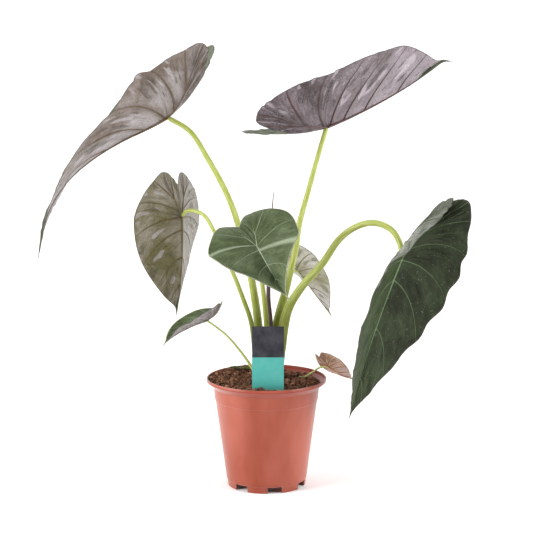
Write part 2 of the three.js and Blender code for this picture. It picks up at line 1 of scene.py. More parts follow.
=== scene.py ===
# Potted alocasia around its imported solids: a grow pot with soil and a plant label, eight veined leaves on their
# stalks, a furled new leaf and a spent one on the soil. Lengths in the tables are millimetres and angles are degrees.
import math
import random

import bmesh
import bpy
from bpy.props import FloatProperty, FloatVectorProperty, IntProperty, PointerProperty
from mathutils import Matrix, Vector, noise


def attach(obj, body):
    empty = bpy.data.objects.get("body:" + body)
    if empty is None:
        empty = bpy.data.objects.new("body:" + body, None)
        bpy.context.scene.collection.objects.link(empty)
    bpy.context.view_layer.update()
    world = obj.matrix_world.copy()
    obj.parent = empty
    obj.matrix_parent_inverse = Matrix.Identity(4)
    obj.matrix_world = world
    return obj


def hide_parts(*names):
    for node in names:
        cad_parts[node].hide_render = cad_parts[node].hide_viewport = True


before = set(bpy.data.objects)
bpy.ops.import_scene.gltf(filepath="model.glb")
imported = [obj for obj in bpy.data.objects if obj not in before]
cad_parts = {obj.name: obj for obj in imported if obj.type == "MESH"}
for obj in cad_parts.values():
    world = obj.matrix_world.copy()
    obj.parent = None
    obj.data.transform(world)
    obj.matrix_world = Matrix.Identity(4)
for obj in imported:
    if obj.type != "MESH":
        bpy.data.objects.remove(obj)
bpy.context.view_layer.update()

bl_info = {
    "name": "Potted alocasia",
    "version": (1, 0, 0),
    "blender": (4, 5, 0),
    "location": "3D View > Sidebar > Plant",
    "description": "Builds a potted alocasia with veined leaves around its packed solids",
    "category": "Object",
}

MM = 0.001

# Pot, as in the solids.
POT_HEIGHT = 155
RIM_RADIUS = 85
LIP_HEIGHT = 5
LIP_WALL = 1.8
WALL = 1.4
FOOT_RADIUS = 55.5
FOOT_HEIGHT = 9.6
FOOT_STEP = 0.7
FLOOR_THICKNESS = 1.6
BODY_TOP = 124
BODY_TOP_RADIUS = 72.5
COLLAR_TOP = 143
COLLAR_TOP_RADIUS = 75
COLLAR_STEP = 0.8
FLANGE_TOP_RADIUS = 84.4
CENTRE_PAD_RADIUS = 10
NOTCH_COUNT = 7
NOTCH_HEIGHT = 9
FIRST_NOTCH_ANGLE = -78.5
SPIN_STEPS = 36 * NOTCH_COUNT
NOTCH_STEPS = 15  # of the spin's steps, across one notch

# Soil, heaped at the back left and low at the back right.
SOIL_LEVEL = 150.5
HEAP_HEIGHT = 9
HEAP_X = -38
HEAP_Y = 36
HEAP_SPREAD = 33
SOIL_EDGE_HIGH = 152.6
SOIL_EDGE_LOW = 146.4
SOIL_LOW_SIDE = 25
GAP = 0.3
SOIL_PLAY = 0.45  # between the soil and the pot's wall
SOIL_RINGS = 56
SOIL_STEPS = 168
SOIL_DISC = 80  # radius of the disc that is laid over the soil's surface
SEED = 11

# Plant label.
LABEL_WIDTH = 43.8
LABEL_TOP = 241.5
LABEL_THICKNESS = 0.8
LABEL_X = 2
LABEL_Y = -66
LABEL_SHOULDER = 147
LABEL_PANEL_SPLIT = 198
STAKE_WIDTH = 16
STAKE_BOTTOM = 96

STALK_ROOT = 118
BLADE_THICKNESS = 0.9

# Each leaf as in the solids. Attitudes in threes are at the lobes, at the stalk and at the tip; under and over name
# the finishes of the blade's two faces.
LEAVES = [
    dict(
        name="upper_left", attach=(-141, 60, 519), under="purple_brown", over="lobed", bulge=0.05,
        length=298, lobe=121, half_width=92, sinus=0.65, drip=0.16, droop=10,
        heading=(172, 185), pitch=(-60, -24, -103), roll=(-28, -12, -22),
        fold=(29, 33, -16), curl=(42, 32, -17), skew=16, asymmetry=0.07, late=2.5, early=4.2,
        wave=-0.5, waves=2, phase=-78, lag=124, scallop=0.06, puff=2.2,
        stalk=[(-9, 8), (-12, 7, 229), (-22, 9, 298), (-40, 20, 371), (-56, 30, 413), (-82, 42, 460), (-109, 53, 500)],
        radius=(7, 3.6), wing=2, wing_side=60,
    ),
    dict(
        name="upper_right", attach=(86, 70, 505), under="grey_purple", over="lobed",
        veins=[0, 2.8, 3.8, 4.5, 5.3, 6.7, 8.2],
        length=253, lobe=117, half_width=114, sinus=0.47, drip=0.14, droop=-38,
        heading=(24, 48), pitch=(0, 20, 27), roll=(19, 12, 16),
        fold=(33, 21, 60), curl=(-6, 1, 10), skew=9, asymmetry=0.01, late=1.2, early=4.2,
        wave=-0.6, waves=1.6, phase=196, lag=101, scallop=-0.03, puff=2.4,
        stalk=[(9, 12), (16, 12, 226), (29, 18, 283), (41, 30, 333), (47, 40, 370), (59, 50, 413), (72, 60, 459)],
        radius=(7.5, 3.4), wing=3.5, wing_side=200,
    ),
    dict(
        name="middle_left", attach=(-120, 30, 381), under="olive_brown", over="dark",
        length=146, lobe=65, half_width=77, sinus=0.69, drip=0.1, droop=0,
        heading=(134, 123), pitch=(-114, -92, -73), roll=(13, 7, 15),
        fold=(8, 22, 40), curl=(10, -3, -7), skew=2, asymmetry=0.01, late=1.3, early=1,
        wave=-1, waves=1.9, phase=-22, lag=140, scallop=0.01, puff=1.8,
        stalk=[(-15, -6), (-21, -12, 234), (-32, -16, 269), (-48, -18, 311), (-71, -10, 361), (-86, 1, 385),
               (-99, 10, 391), (-112, 20, 390)],
        radius=(4.2, 2.6), wing=0, wing_side=0,
    ),
    dict(
        name="centre", attach=(-13, -110, 359), under="pale_purple", over="crested",
        veins=[0, 2.4, 3.5, 4.8, 6.4, 8.2],
        length=108, lobe=63, half_width=64, sinus=0.79, drip=0.15, droop=0,
        heading=(-58, -64), pitch=(1, -41, -25), roll=(-18, -27, -37),
        fold=(16, 7, 58), curl=(-1, 5, 39), skew=-1, asymmetry=0.02, late=1.3, early=1,
        wave=0.8, waves=1.9, phase=-40, lag=65, scallop=-0.03, puff=1.4,
        stalk=[(-1, -13), (0, -20, 231), (-6, -50, 298), (-11, -76, 331)],
        radius=(4.8, 3), wing=0, wing_side=0,
    ),
    dict(
        name="right", attach=(183, -90, 340), under="grey_green", over="dark",
        length=253, lobe=129, half_width=79, sinus=0.71, drip=0.07, droop=-4,
        heading=(-39, -40), pitch=(-141, -113, -104), roll=(-12, -20, 3),
        fold=(46, 16, 22), curl=(16, 38, 3), skew=2, asymmetry=-0.02, late=2, early=1.5,
        wave=1.5, waves=4.5, phase=26, lag=37, scallop=0.032, puff=1.8,
        stalk=[(14, -7), (23, -10, 227), (31, -14, 258), (50, -22, 290), (77, -33, 323), (101, -43, 360),
               (124, -52, 378), (147, -62, 384), (169, -73, 376), (180, -82, 359)],
        radius=(8.5, 4), wing=2, wing_side=20,
    ),
    dict(
        name="back_right", attach=(47, 110, 289), under="pale_olive", over="mid",
        length=92, lobe=53, half_width=40, sinus=0.61, drip=0.13, droop=-10,
        heading=(32, 11), pitch=(-62, -51, -54), roll=(7, 15, 8),
        fold=(26, 17, 38), curl=(22, 11, -2), skew=3, asymmetry=-0.05, late=1.3, early=1,
        wave=-0.8, waves=1.4, phase=27, lag=100, scallop=-0.02, puff=1,
        stalk=[(20, 23), (23, 40, 225), (27, 72, 275), (34, 97, 291)],
        radius=(2.2, 1.4), wing=0, wing_side=0,
    ),
    dict(
        name="lower_left", attach=(-83, -30, 243), under="pale_purple", over="mid",
        length=75, lobe=36, half_width=29, sinus=0.54, drip=0.11, droop=-41,
        heading=(162, 218), pitch=(-74, -22, -39), roll=(6, 6, 23),
        fold=(20, 24, 44), curl=(1, -10, 28), skew=-1, asymmetry=-0.05, late=1.5, early=1,
        wave=3.4, waves=1.1, phase=39, lag=128, scallop=-0.02, puff=0.8,
        stalk=[(-9, -22), (-22, -22, 176), (-35, -22, 195), (-56, -26, 221)],
        radius=(3, 1.4), wing=0, wing_side=0,
    ),
    dict(
        name="lower_right", attach=(88, -10, 172), under="young_brown", over="young_brown",
        length=43, lobe=25, half_width=22, sinus=0.81, drip=0.12, droop=0,
        heading=(8, 19), pitch=(-59, -38, -15), roll=(37, 36, 35),
        fold=(23, 14, 26), curl=(0, 2, 17), skew=1, asymmetry=0.02, late=1.3, early=1,
        wave=0.3, waves=2, phase=19, lag=51, scallop=0.01, puff=0.6,
        stalk=[(46, 14), (53, 10, 152), (64, 4, 160), (76, -4, 170)],
        radius=(1.9, 1.3), wing=0, wing_side=0,
    ),
]

NEW_LEAF_PATH = [(-1, -1, STALK_ROOT), (2, 0, 190), (6, -1, 229), (3, -4, 267), (3, -6, 290), (6, -9, 350),
                 (8, -10, 397), (10, -10, 420)]
NEW_LEAF_RADII = [3.4, 3.4, 3.3, 3.2, 3.1, 2.6, 1.3, 0.5]
SPENT_THICKNESS = 0.7
SPENT_LEAF = dict(x=-30, y=27, length=46, width=13, angle=-10, thickness=1.2, rise=0.5)

# Camera: the photograph's viewpoint.
CAMERA_PLACE = (0, -2.24, 0.676)
CAMERA_PITCH = -9.18
CAMERA_LENS = 109.15
SENSOR = 36
FLOOR_RADIUS = 400

# Soft studio light, in metres. The sky is dim behind the camera and bright ahead of it.
SKY_BEHIND_AND_AHEAD = (0.14, 1.5)
SUNS = (("soft_left", (-3.0, -1.0, 1.8), 2.6), ("soft_right", (3.0, -0.8, 1.4), 1.8))
SUN_SPREAD = 35
STRIPS = (("strip_left", (-1.3, -0.8, 0.4), 16), ("strip_right", (1.3, -0.7, 0.4), 13))
STRIP_SIZE = (0.5, 1.6)
PLANT_MIDDLE = (0, 0, 0.33)

# Outline steps of half a blade, from the tip round to the bottom of the sinus.
SIDE = 6.4
LOBE_END = 10
SINUS = 12
RIB_SHARE = 0.8
VEINS = [0, 2.4, 3.4, 4.4, 5.5, 7.2, 8.6]
LOBE_HIGHLIGHT = (158, 164, 144)  # painted highlight on the upper side of a lobe that is seen from low down
MIDRIB_STEPS = 60
EASE = 0.25  # share of the midrib over which the blade's turns are eased
WRINKLE = 3.4  # height of the wrinkles between the veins
EXPOSURE = 0.72
TIP_SHARE = 0.2  # of a blade's length, over which its waves and wrinkles die away
COLUMNS = (14, 32)  # across half a blade, for the smallest and the largest leaf
ROWS = (8, 21)  # for each outline step
MIDRIB_PARTS = 60
LOBE_RIB_PARTS = 24
VEIN_PARTS = 22
STALK_PARTS = 90
STALK_SIDES = 20
YOUNG_LENGTH = 80  # leaves shorter than this have a pale stalk
STALK_UV = 100  # millimetres of a stalk for one unit of its UV map


def srgb(red, green, blue):
    """The finish that shows in screen values from 0 to 255 in this light, as linear red, green and blue."""
    def linear(value):
        value /= 255
        return value / 12.92 if value <= 0.04045 else ((value + 0.055) / 1.055) ** 2.4
    return tuple(EXPOSURE * linear(value) for value in (red, green, blue))


def shade(colour, share):
    return tuple(share * value for value in colour)


def clamp01(value):
    return min(max(value, 0.0), 1.0)


def lerp(start, end, share):
    return start + (end - start) * share


def smoothstep(value, low, high):
    share = clamp01((value - low) / (high - low))
    return share * share * (3 - 2 * share)


# ---------------------------------------------------------------------------------------------- finishes

class Nodes:
    """A node tree under construction, and shorthands for the nodes used here."""

    def __init__(self, tree):
        self.nodes, self.links = tree.nodes, tree.links

    def set(self, node, socket, value):
        found = next(s for s in node.inputs if s.name.lower() == socket.lower() and s.enabled)
        if isinstance(value, bpy.types.NodeSocket):
            self.links.new(value, found)
        elif isinstance(value, (tuple, list)) and found.type == "RGBA":
            found.default_value = (*value[:3], 1)
        else:
            found.default_value = value

    def node(self, kind, inputs=None, **settings):
        node = self.nodes.new("ShaderNode" + kind)
        for key, value in settings.items():
            setattr(node, key, value)
        for socket, value in (inputs or {}).items():
            self.set(node, socket, value)
        return node

    def out(self, node, name=None):
        if name is None:
            return next(s for s in node.outputs if s.enabled)
        return next(s for s in node.outputs if s.name == name and s.enabled)

    def place(self):
        return self.out(self.node("TexCoord"), "Object")

    def uv(self, name):
        return self.out(self.node("UVMap", uv_map=name))

    def stretched(self, vector, scale):
        return self.out(self.node("Mapping", {"Vector": vector, "Scale": scale}))

    def noise(self, vector, scale, detail=3.0, roughness=0.55, distortion=0.0):
        made = self.node("TexNoise", {"Vector": vector, "Scale": scale, "Detail": detail, "Roughness": roughness,
                                      "Distortion": distortion})
        return self.out(made, "Fac")

    def cells(self, vector, scale):
        made = self.node("TexVoronoi", {"Vector": vector, "Scale": scale}, feature="DISTANCE_TO_EDGE")
        return self.out(made, "Distance")

    def band(self, value, low, high, to_low=0.0, to_high=1.0, kind="SMOOTHSTEP"):
        """What a value between low and high comes to on the way from to_low to to_high."""
        made = self.node("MapRange", {"Value": value, "From Min": low, "From Max": high, "To Min": to_low,
                                      "To Max": to_high}, interpolation_type=kind)
        return self.out(made, "Result")

    def maths(self, operation, first, second=0.0):
        made = self.node("Math", operation=operation)
        for socket, value in zip(made.inputs, (first, second)):
            if isinstance(value, bpy.types.NodeSocket):
                self.links.new(value, socket)
            else:
                socket.default_value = value
        return self.out(made)

    def blend(self, share, first, second):
        made = self.node("Mix", data_type="RGBA", clamp_factor=True)
        for socket, value in ((made.inputs[0], share), (made.inputs[6], first), (made.inputs[7], second)):
            if isinstance(value, bpy.types.NodeSocket):
                self.links.new(value, socket)
            elif isinstance(value, (tuple, list)):
                socket.default_value = (*value[:3], 1)
            else:
                socket.default_value = value
        return made.outputs[2]

    def attribute(self, name, output="Fac"):
        return self.out(self.node("Attribute", attribute_name=name), output)


class Finish(Nodes):
    """A material under construction: coats of colour over one another, and layers of relief."""

    def __init__(self, name, **sockets):
        self.material = bpy.data.materials.new(name)
        self.material.use_nodes = True
        super().__init__(self.material.node_tree)
        self.shader = self.nodes["Principled BSDF"]
        for socket, value in sockets.items():
            self.set(self.shader, socket.replace("_", " "), value)
        self.colour = self.relief = None

    def base(self, share, first, second):
        self.colour = self.blend(share, first, second)

    def coat(self, share, paint):
        self.colour = self.blend(share, self.colour, paint)

    def emboss(self, height, strength, distance):
        made = self.node("Bump", {"Height": height, "Strength": strength, "Distance": distance})
        if self.relief is not None:
            self.set(made, "Normal", self.relief)
        self.relief = self.out(made)

    def finished(self, roughness=None):
        for socket, value in (("Base Color", self.colour), ("Normal", self.relief), ("Roughness", roughness)):
            if value is not None:
                self.set(self.shader, socket, value)
        return self.material


def leaf_lines(finish):
    """How far a place on a blade is from the side veins and from the ribs, in their half widths, from the margin, in
    millimetres, and from the fine vein between two side veins."""
    parts = finish.node("SeparateXYZ", {"Vector": finish.attribute("lines", "Vector")})
    return [finish.out(parts, axis) for axis in "XYZ"] + [finish.attribute("minor")]


def upper_face(name, colours, half_highlight, tip, lobe, crest):
    finish = Finish(name, Specular_IOR_Level=0.15)
    dark, light, vein_colour, edge_colour = (srgb(*colour) for colour in colours)
    vein, rib, edge, minor = leaf_lines(finish)
    place = finish.place()
    patches = finish.noise(place, 22, 4, 0.6)
    creases = finish.noise(finish.stretched(finish.uv("leaf"), (34.0, 3.4, 1.0)), 1.6, 4, 0.6, 0.5)
    cells = finish.cells(place, 260)
    grain = finish.noise(place, 900, 2)
    finish.base(finish.band(patches, 0.35, 0.68), dark, light)
    finish.coat(finish.band(cells, 0.0, 0.1, 0.3, 0.0), light)
    # Painted highlight on the high parts of the creases.
    finish.coat(finish.band(creases, 0.5, 0.68, 0.0, 0.35), light)
    # Painted highlight and painted shade along the wrinkles, by their height.
    raised = finish.attribute("raised")
    finish.coat(finish.band(raised, -0.08, -0.34, 0.0, 0.35), shade(light, 1.4))
    finish.coat(finish.band(raised, 0.08, 0.3, 0.0, 0.35), shade(dark, 0.6))
    step = finish.out(finish.node("SeparateXYZ", {"Vector": finish.uv("leaf")}), "X")
    # Painted highlight towards the tip.
    finish.coat(finish.band(step, 0.22, 0.1, 0.0, tip), shade(light, 1.7))
    # Painted highlight on the upper side of the lobes.
    finish.coat(finish.band(step, 0.72, 0.86, 0.0, lobe), srgb(*LOBE_HIGHLIGHT))
    # Painted highlight over the right half.
    half = finish.attribute("half")
    finish.coat(finish.band(half, 0.0, 1.0, 0.0, half_highlight), shade(light, 1.7))
    # Painted shade in the low parts of the creases.
    finish.coat(finish.band(creases, 0.34, 0.5, 0.35, 0.0), shade(dark, 0.6))
    specks = finish.band(finish.noise(place, 420, 1, 0.4), 0.69, 0.76)
    finish.coat(finish.maths("MULTIPLY", specks, 0.45), srgb(150, 160, 142))
    finish.coat(finish.band(vein, 1.2, 7.0, 0.4, 0.0), light)
    finish.coat(finish.band(minor, 0.2, 0.9, 0.35, 0.0), light)
    on_vein = finish.maths("MAXIMUM", finish.band(vein, 0.5, 1.3, 0.75, 0.0), finish.band(rib, 0.5, 1.1, 1.0, 0.0))
    finish.coat(on_vein, vein_colour)
    # A pale band in the vein colour along a crest across the blade: a painted highlight.
    if crest:
        at = finish.band(half, -0.01, 0.01, *(value / SINUS for value in crest))
        away = finish.maths("ABSOLUTE", finish.maths("SUBTRACT", step, at))
        finish.coat(finish.band(away, 0.004, 0.022, 0.7, 0.0), vein_colour)
    finish.coat(finish.band(edge, 0.5, 1.5, 0.9, 0.0), edge_colour)
    sunk = finish.maths("MINIMUM", finish.band(vein, 0.0, 3.0), finish.band(rib, 0.0, 1.6))
    sunk = finish.maths("ADD", sunk, finish.band(minor, 0.0, 1.6, 0.0, 0.35))
    finish.emboss(sunk, 0.6, 0.0009)
    finish.emboss(creases, 0.6, 0.004)
    finish.emboss(finish.band(cells, 0.0, 0.25), 0.25, 0.0006)
    finish.emboss(grain, 0.12, 0.0003)
    return finish.finished(finish.band(patches, 0.3, 0.75, 0.34, 0.48))


def under_face(name, colours, rib_highlight, tip, tip_start, half_highlight):
    finish = Finish(name, Specular_IOR_Level=0.35)
    dark, light, pale, vein_colour = (srgb(*colour) for colour in colours)
    vein, rib, edge, minor = leaf_lines(finish)
    place = finish.place()
    flat = finish.uv("leaf")
    streaks = finish.noise(finish.stretched(flat, (34.0, 3.4, 1.0)), 1.6, 4, 0.6, 0.5)
    wisps = finish.noise(finish.stretched(flat, (80.0, 9.0, 1.0)), 1.7, 3, 0.6, 0.4)
    patches = finish.noise(place, 20, 3, 0.55)
    mottle = finish.noise(place, 95, 4, 0.62, 0.8)
    cells = finish.cells(place, 300)
    raised = finish.attribute("raised")
    parts = finish.node("SeparateXYZ", {"Vector": flat})
    step, out = finish.out(parts, "X"), finish.out(parts, "Y")
    # Painted sheen in streaks, and thin painted glints.
    painted_sheen = finish.maths("MULTIPLY", finish.band(streaks, 0.42, 0.66), finish.band(patches, 0.34, 0.56, 0.25, 1.0))
    painted_glints = finish.band(finish.maths("ABSOLUTE", finish.maths("SUBTRACT", wisps, 0.52)), 0.0, 0.03, 0.5, 0.0)
    painted_glints = finish.maths("MULTIPLY", painted_glints, finish.band(patches, 0.42, 0.58, 0.1, 1.0))
    deep = shade(dark, 0.5)
    finish.base(finish.band(patches, 0.36, 0.64), dark, light)
    # Painted highlight near the ribs.
    near = finish.maths("MULTIPLY", finish.band(out, 0.7, 0.2, 0.0, rib_highlight), finish.band(vein, 2.0, 24.0))
    finish.coat(near, pale)
    finish.coat(finish.band(step, tip_start, 0.6 * tip_start, 0.0, tip), pale)
    # Painted highlight over the right half.
    finish.coat(finish.band(finish.attribute("half"), 0.0, 1.0, 0.0, half_highlight), pale)
    finish.coat(finish.band(mottle, 0.26, 0.5, 0.45, 0.0), deep)
    finish.coat(finish.maths("MULTIPLY", painted_sheen, 0.16), pale)
    # Painted highlight and painted shade along the wrinkles, by their height.
    finish.coat(finish.band(raised, 0.12, 0.26, 0.0, 0.6), pale)
    finish.coat(finish.band(raised, -0.1, -0.24, 0.0, 0.7), deep)
    finish.coat(painted_glints, pale)
    finish.coat(finish.band(wisps, 0.28, 0.42, 0.3, 0.0), deep)
    finish.coat(finish.band(cells, 0.0, 0.09, 0.25, 0.0), dark)
    # Painted shade in the hollows beside the side veins.
    finish.coat(finish.band(vein, 1.4, 4.2, 0.75, 0.0), deep)
    finish.coat(finish.band(minor, 0.2, 0.8, 0.3, 0.0), vein_colour)
    on_vein = finish.maths("MAXIMUM", finish.band(vein, 0.8, 1.5, 1.0, 0.0), finish.band(rib, 0.6, 1.1, 1.0, 0.0))
    finish.coat(on_vein, vein_colour)
    finish.coat(finish.band(edge, 0.5, 1.2, 0.8, 0.0), deep)
    cord = finish.maths("MAXIMUM", finish.band(vein, 0.0, 2.2, 1.0, 0.0), finish.band(rib, 0.0, 1.6, 1.0, 0.0))
    cord = finish.maths("MAXIMUM", cord, finish.band(minor, 0.0, 1.4, 0.4, 0.0))
    finish.emboss(cord, 0.5, 0.0008)
    finish.emboss(streaks, 0.7, 0.005)
    finish.emboss(mottle, 0.6, 0.003)
    finish.emboss(wisps, 0.5, 0.0015)
    finish.emboss(finish.band(cells, 0.0, 0.22), 0.22, 0.0005)
    return finish.finished(finish.band(patches, 0.3, 0.75, 0.25, 0.4))


def rib_finish(name, colour, light):
    finish = Finish(name, Roughness=0.42)
    finish.base(finish.band(finish.noise(finish.place(), 60, 3), 0.35, 0.7), colour, light)
    return finish.finished()


# Undersides: dark, light, pale and vein colours on the screen; how strong the painted highlight by the ribs is;
# how pale the tip is, and from which share of the outline; how strong the painted highlight on the right half is.
UNDER = {
    "purple_brown": (((118, 102, 90), (152, 141, 134), (206, 200, 203), (104, 72, 18)), 0.55, 0.85, 0.34, 0),
    "grey_purple": (((80, 64, 66), (108, 93, 99), (202, 191, 198), (84, 38, 24)), 0.1, 0.36, 0.44, 0),
    "olive_brown": (((104, 98, 58), (144, 134, 112), (188, 182, 184), (104, 76, 14)), 0, 0, 0.3, 0.38),
    "pale_purple": (((160, 151, 149), (184, 175, 178), (222, 213, 219), (118, 112, 84)), 0.1, 0, 0.3, 0),
    "grey_green": (((84, 90, 70), (108, 112, 98), (150, 152, 146), (96, 108, 78)), 0.1, 0, 0.3, 0),
    "pale_olive": (((170, 168, 126), (232, 229, 216), (246, 240, 242), (124, 120, 60)), 0.3, 0.6, 0.4, 0),
    "young_brown": (((236, 180, 140), (250, 218, 194), (252, 236, 234), (164, 88, 50)), 0.1, 0.4, 0.4, 0),
}
# Upper sides: dark, light, vein and margin colours on the screen; how strong the painted highlights on the right half,
# the tip and the lobes are; the outline steps at which a painted highlight along a crest across the blade ends, left
# and right.
OVER = {
    "dark": (((38, 44, 26), (62, 73, 48), (116, 140, 100), (120, 96, 98)), 0.35, 0, 0, None),
    "lobed": (((38, 44, 26), (62, 73, 48), (116, 140, 100), (120, 96, 98)), 0.35, 0.6, 0.8, None),
    "mid": (((72, 84, 50), (106, 120, 88), (184, 196, 160), (200, 206, 158)), 0.05, 0.5, 0, None),
    "crested": (((70, 82, 48), (104, 118, 84), (176, 188, 160), (200, 206, 158)), 0.05, 0.5, 0, (4.8, 6.4)),
    "young_brown": (((206, 158, 120), (226, 188, 160), (150, 94, 60), (150, 84, 54)), 0, 0, 0, None),
}


def pot_finish(colour):
    finish = Finish("pot_plastic", Sheen_Weight=0.35, Sheen_Roughness=0.4, Sheen_Tint=(1, 0.94, 0.88, 1),
                    Specular_IOR_Level=0.4)
    place = finish.place()
    flow = finish.noise(finish.stretched(place, (1.0, 1.0, 0.35)), 26, 3, 0.5)
    grain = finish.noise(place, 1600, 2)
    paler = tuple(min(1.0, 1.22 * value + 0.03) for value in colour)
    finish.base(finish.band(flow, 0.3, 0.75), tuple(colour), paler)
    height = finish.out(finish.node("SeparateXYZ", {"Vector": place}), "Z")
    # Painted shade under the rim's lip.
    lip_shade = finish.maths("MULTIPLY", finish.band(height, 0.14, 0.146), finish.band(height, 0.1535, 0.151, 0.0, 0.7))
    finish.coat(lip_shade, srgb(150, 36, 8))
    # Browner and darker over the lowest 12 mm, broken up by the grain.
    bottom_band = finish.maths("MULTIPLY", finish.band(height, 0.012, 0.0, 0.0, 1.0), finish.band(grain, 0.4, 0.7, 0.2, 0.7))
    finish.coat(finish.maths("MULTIPLY", bottom_band, 0.35), srgb(120, 84, 66))
    finish.emboss(grain, 0.1, 0.0002)
    finish.emboss(flow, 0.12, 0.0012)
    return finish.finished(finish.band(flow, 0.3, 0.75, 0.34, 0.44))


def soil_finish(name, dark, light):
    finish = Finish(name, Roughness=0.92, Specular_IOR_Level=0.15)
    place = finish.place()
    clods = finish.noise(place, 260, 4, 0.65)
    fine = finish.noise(place, 1500, 3, 0.7)
    tint = finish.attribute("tint")
    finish.base(finish.band(clods, 0.35, 0.7), dark, light)
    finish.coat(finish.maths("MULTIPLY", tint, 0.85), srgb(196, 144, 112))
    finish.coat(finish.band(fine, 0.6, 0.8, 0.0, 0.35), srgb(150, 118, 86))
    finish.emboss(fine, 0.8, 0.0012)
    return finish.finished()


def stalk_finish(name, green, pale, foot):
    finish = Finish(name, Roughness=0.38, Specular_IOR_Level=0.3)
    streaks = finish.noise(finish.stretched(finish.uv("stalk"), (14.0, 1.4, 1.0)), 3, 4, 0.6)
    place = finish.place()
    finish.base(finish.band(streaks, 0.35, 0.68), green, pale)
    up = finish.out(finish.node("SeparateXYZ", {"Vector": finish.uv("stalk")}), "Y")
    finish.coat(finish.band(up, 0.6, 2.6, foot, 0.0), shade(green, 0.66))
    freckles = finish.band(finish.noise(place, 500, 2, 0.5), 0.62, 0.72)
    finish.coat(finish.maths("MULTIPLY", freckles, 0.35), srgb(128, 136, 62))
    finish.emboss(streaks, 0.35, 0.0008)
    return finish.finished()


def label_finish(name, colour):
    finish = Finish(name, Roughness=0.5, Specular_IOR_Level=0.2)
    place = finish.place()
    grain = finish.noise(place, 1400, 2)
    finish.base(finish.band(finish.noise(place, 60, 2), 0.3, 0.8, 0.0, 0.03), tuple(colour), (1, 1, 1))
    finish.emboss(grain, 0.06, 0.0002)
    return finish.finished()


def furled_finish():
    finish = Finish("furled_leaf", Roughness=0.38)
    streaks = finish.noise(finish.stretched(finish.uv("stalk"), (10.0, 1.5, 1.0)), 3, 4, 0.6)
    finish.base(finish.band(streaks, 0.35, 0.7), srgb(46, 18, 24), srgb(92, 58, 48))
    finish.emboss(streaks, 0.4, 0.0008)
    return finish.finished()


def spent_finish():
    finish = Finish("spent_leaf", Roughness=0.55, Specular_IOR_Level=0.15)
    place = finish.place()
    patches = finish.noise(place, 90, 4, 0.6)
    finish.base(finish.band(patches, 0.35, 0.65), srgb(52, 62, 14), srgb(96, 108, 26))
    finish.emboss(patches, 0.5, 0.001)
    return finish.finished()


# ---------------------------------------------------------------------------------------------- shaping

def put_away(bm, name, finishes, nodes=(), smooth=True):
    """Turns a bmesh in millimetres into a piece that rides with the plant, and stands for the given solids."""
    bmesh.ops.scale(bm, vec=(MM, MM, MM), verts=bm.verts)
    for face in bm.faces:
        face.smooth = smooth
    mesh = bpy.data.meshes.new(name)
    bm.to_mesh(mesh)
    bm.free()
    piece = bpy.data.objects.new(name, mesh)
    bpy.context.scene.collection.objects.link(piece)
    for finish in finishes:
        mesh.materials.append(finish)
    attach(piece, "root")
    if nodes:
        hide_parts(*nodes)
    return piece


def thicken(piece, thickness, back=0):
    """Gives a sheet its thickness, half to each side. back is the finish of its back and rim, counted from its own."""
    wall = piece.modifiers.new("thickness", "SOLIDIFY")
    wall.thickness = thickness * MM
    wall.offset = 0
    wall.material_offset = wall.material_offset_rim = back


def smooth_path(points, count):
    """count + 1 evenly spaced places on a centripetal spline through the points."""
    points = [Vector(point) for point in points]
    ends = [2 * points[0] - points[1], *points, 2 * points[-1] - points[-2]]
    dense = [points[0]]
    for p0, p1, p2, p3 in zip(ends, ends[1:], ends[2:], ends[3:]):
        d0, d1, d2 = ((b - a).length ** 0.5 for a, b in ((p0, p1), (p1, p2), (p2, p3)))
        leave = ((p1 - p0) / d0 - (p2 - p0) / (d0 + d1) + (p2 - p1) / d1) * d1
        arrive = ((p2 - p1) / d1 - (p3 - p1) / (d1 + d2) + (p3 - p2) / d2) * d1
        for i in range(1, 17):
            t = i / 16
            dense.append(p1 * (2 * t ** 3 - 3 * t * t + 1) + leave * (t ** 3 - 2 * t * t + t)
                         + p2 * (3 * t * t - 2 * t ** 3) + arrive * (t ** 3 - t * t))
    lengths = [0.0]
    for a, b in zip(dense, dense[1:]):
        lengths.append(lengths[-1] + (b - a).length)
    places = []
    k = 0
    for i in range(count + 1):
        target = lengths[-1] * i / count
        while k < len(dense) - 2 and lengths[k + 1] < target:
            k += 1
        places.append(dense[k].lerp(dense[k + 1], (target - lengths[k]) / (lengths[k + 1] - lengths[k])))
    return places


def tube(bm, centres, radius_at, sides=12):
    """A closed round tube through centres. radius_at takes the share of its length and the spoke's direction."""
    tangents = []
    for i in range(len(centres)):
        ahead = centres[min(i + 1, len(centres) - 1)] - centres[max(i - 1, 0)]
        tangents.append(ahead.normalized())
    across = tangents[0].orthogonal().normalized()
    frames = []
    for tangent in tangents:
        across = (across - tangent * across.dot(tangent)).normalized()
        frames.append((across, tangent.cross(across)))
    uv_layer = bm.loops.layers.uv.get("stalk") or bm.loops.layers.uv.new("stalk")
    rings = len(centres) + 1
    grid = bmesh.ops.create_grid(bm, x_segments=sides, y_segments=rings, size=0.5)["verts"]
    faces = {face for vert in grid for face in vert.link_faces}
    length = sum((b - a).length for a, b in zip(centres, centres[1:]))
    for face in faces:
        for loop in face.loops:
            loop[uv_layer].uv = (loop.vert.co.x + 0.5, (loop.vert.co.y + 0.5) * length / STALK_UV)
    for vert in grid:
        side = round((vert.co.x + 0.5) * sides)
        ring = round((vert.co.y + 0.5) * rings)
        i = min(max(ring - 1, 0), len(centres) - 1)
        if ring in (0, rings):
            vert.co = centres[i]
            continue
        turn = 2 * math.pi * side / sides
        spoke = frames[i][0] * math.cos(turn) + frames[i][1] * math.sin(turn)
        vert.co = centres[i] + spoke * radius_at(i / (len(centres) - 1), spoke)
    bmesh.ops.remove_doubles(bm, verts=grid, dist=1e-5)


# ---------------------------------------------------------------------------------------------- blade

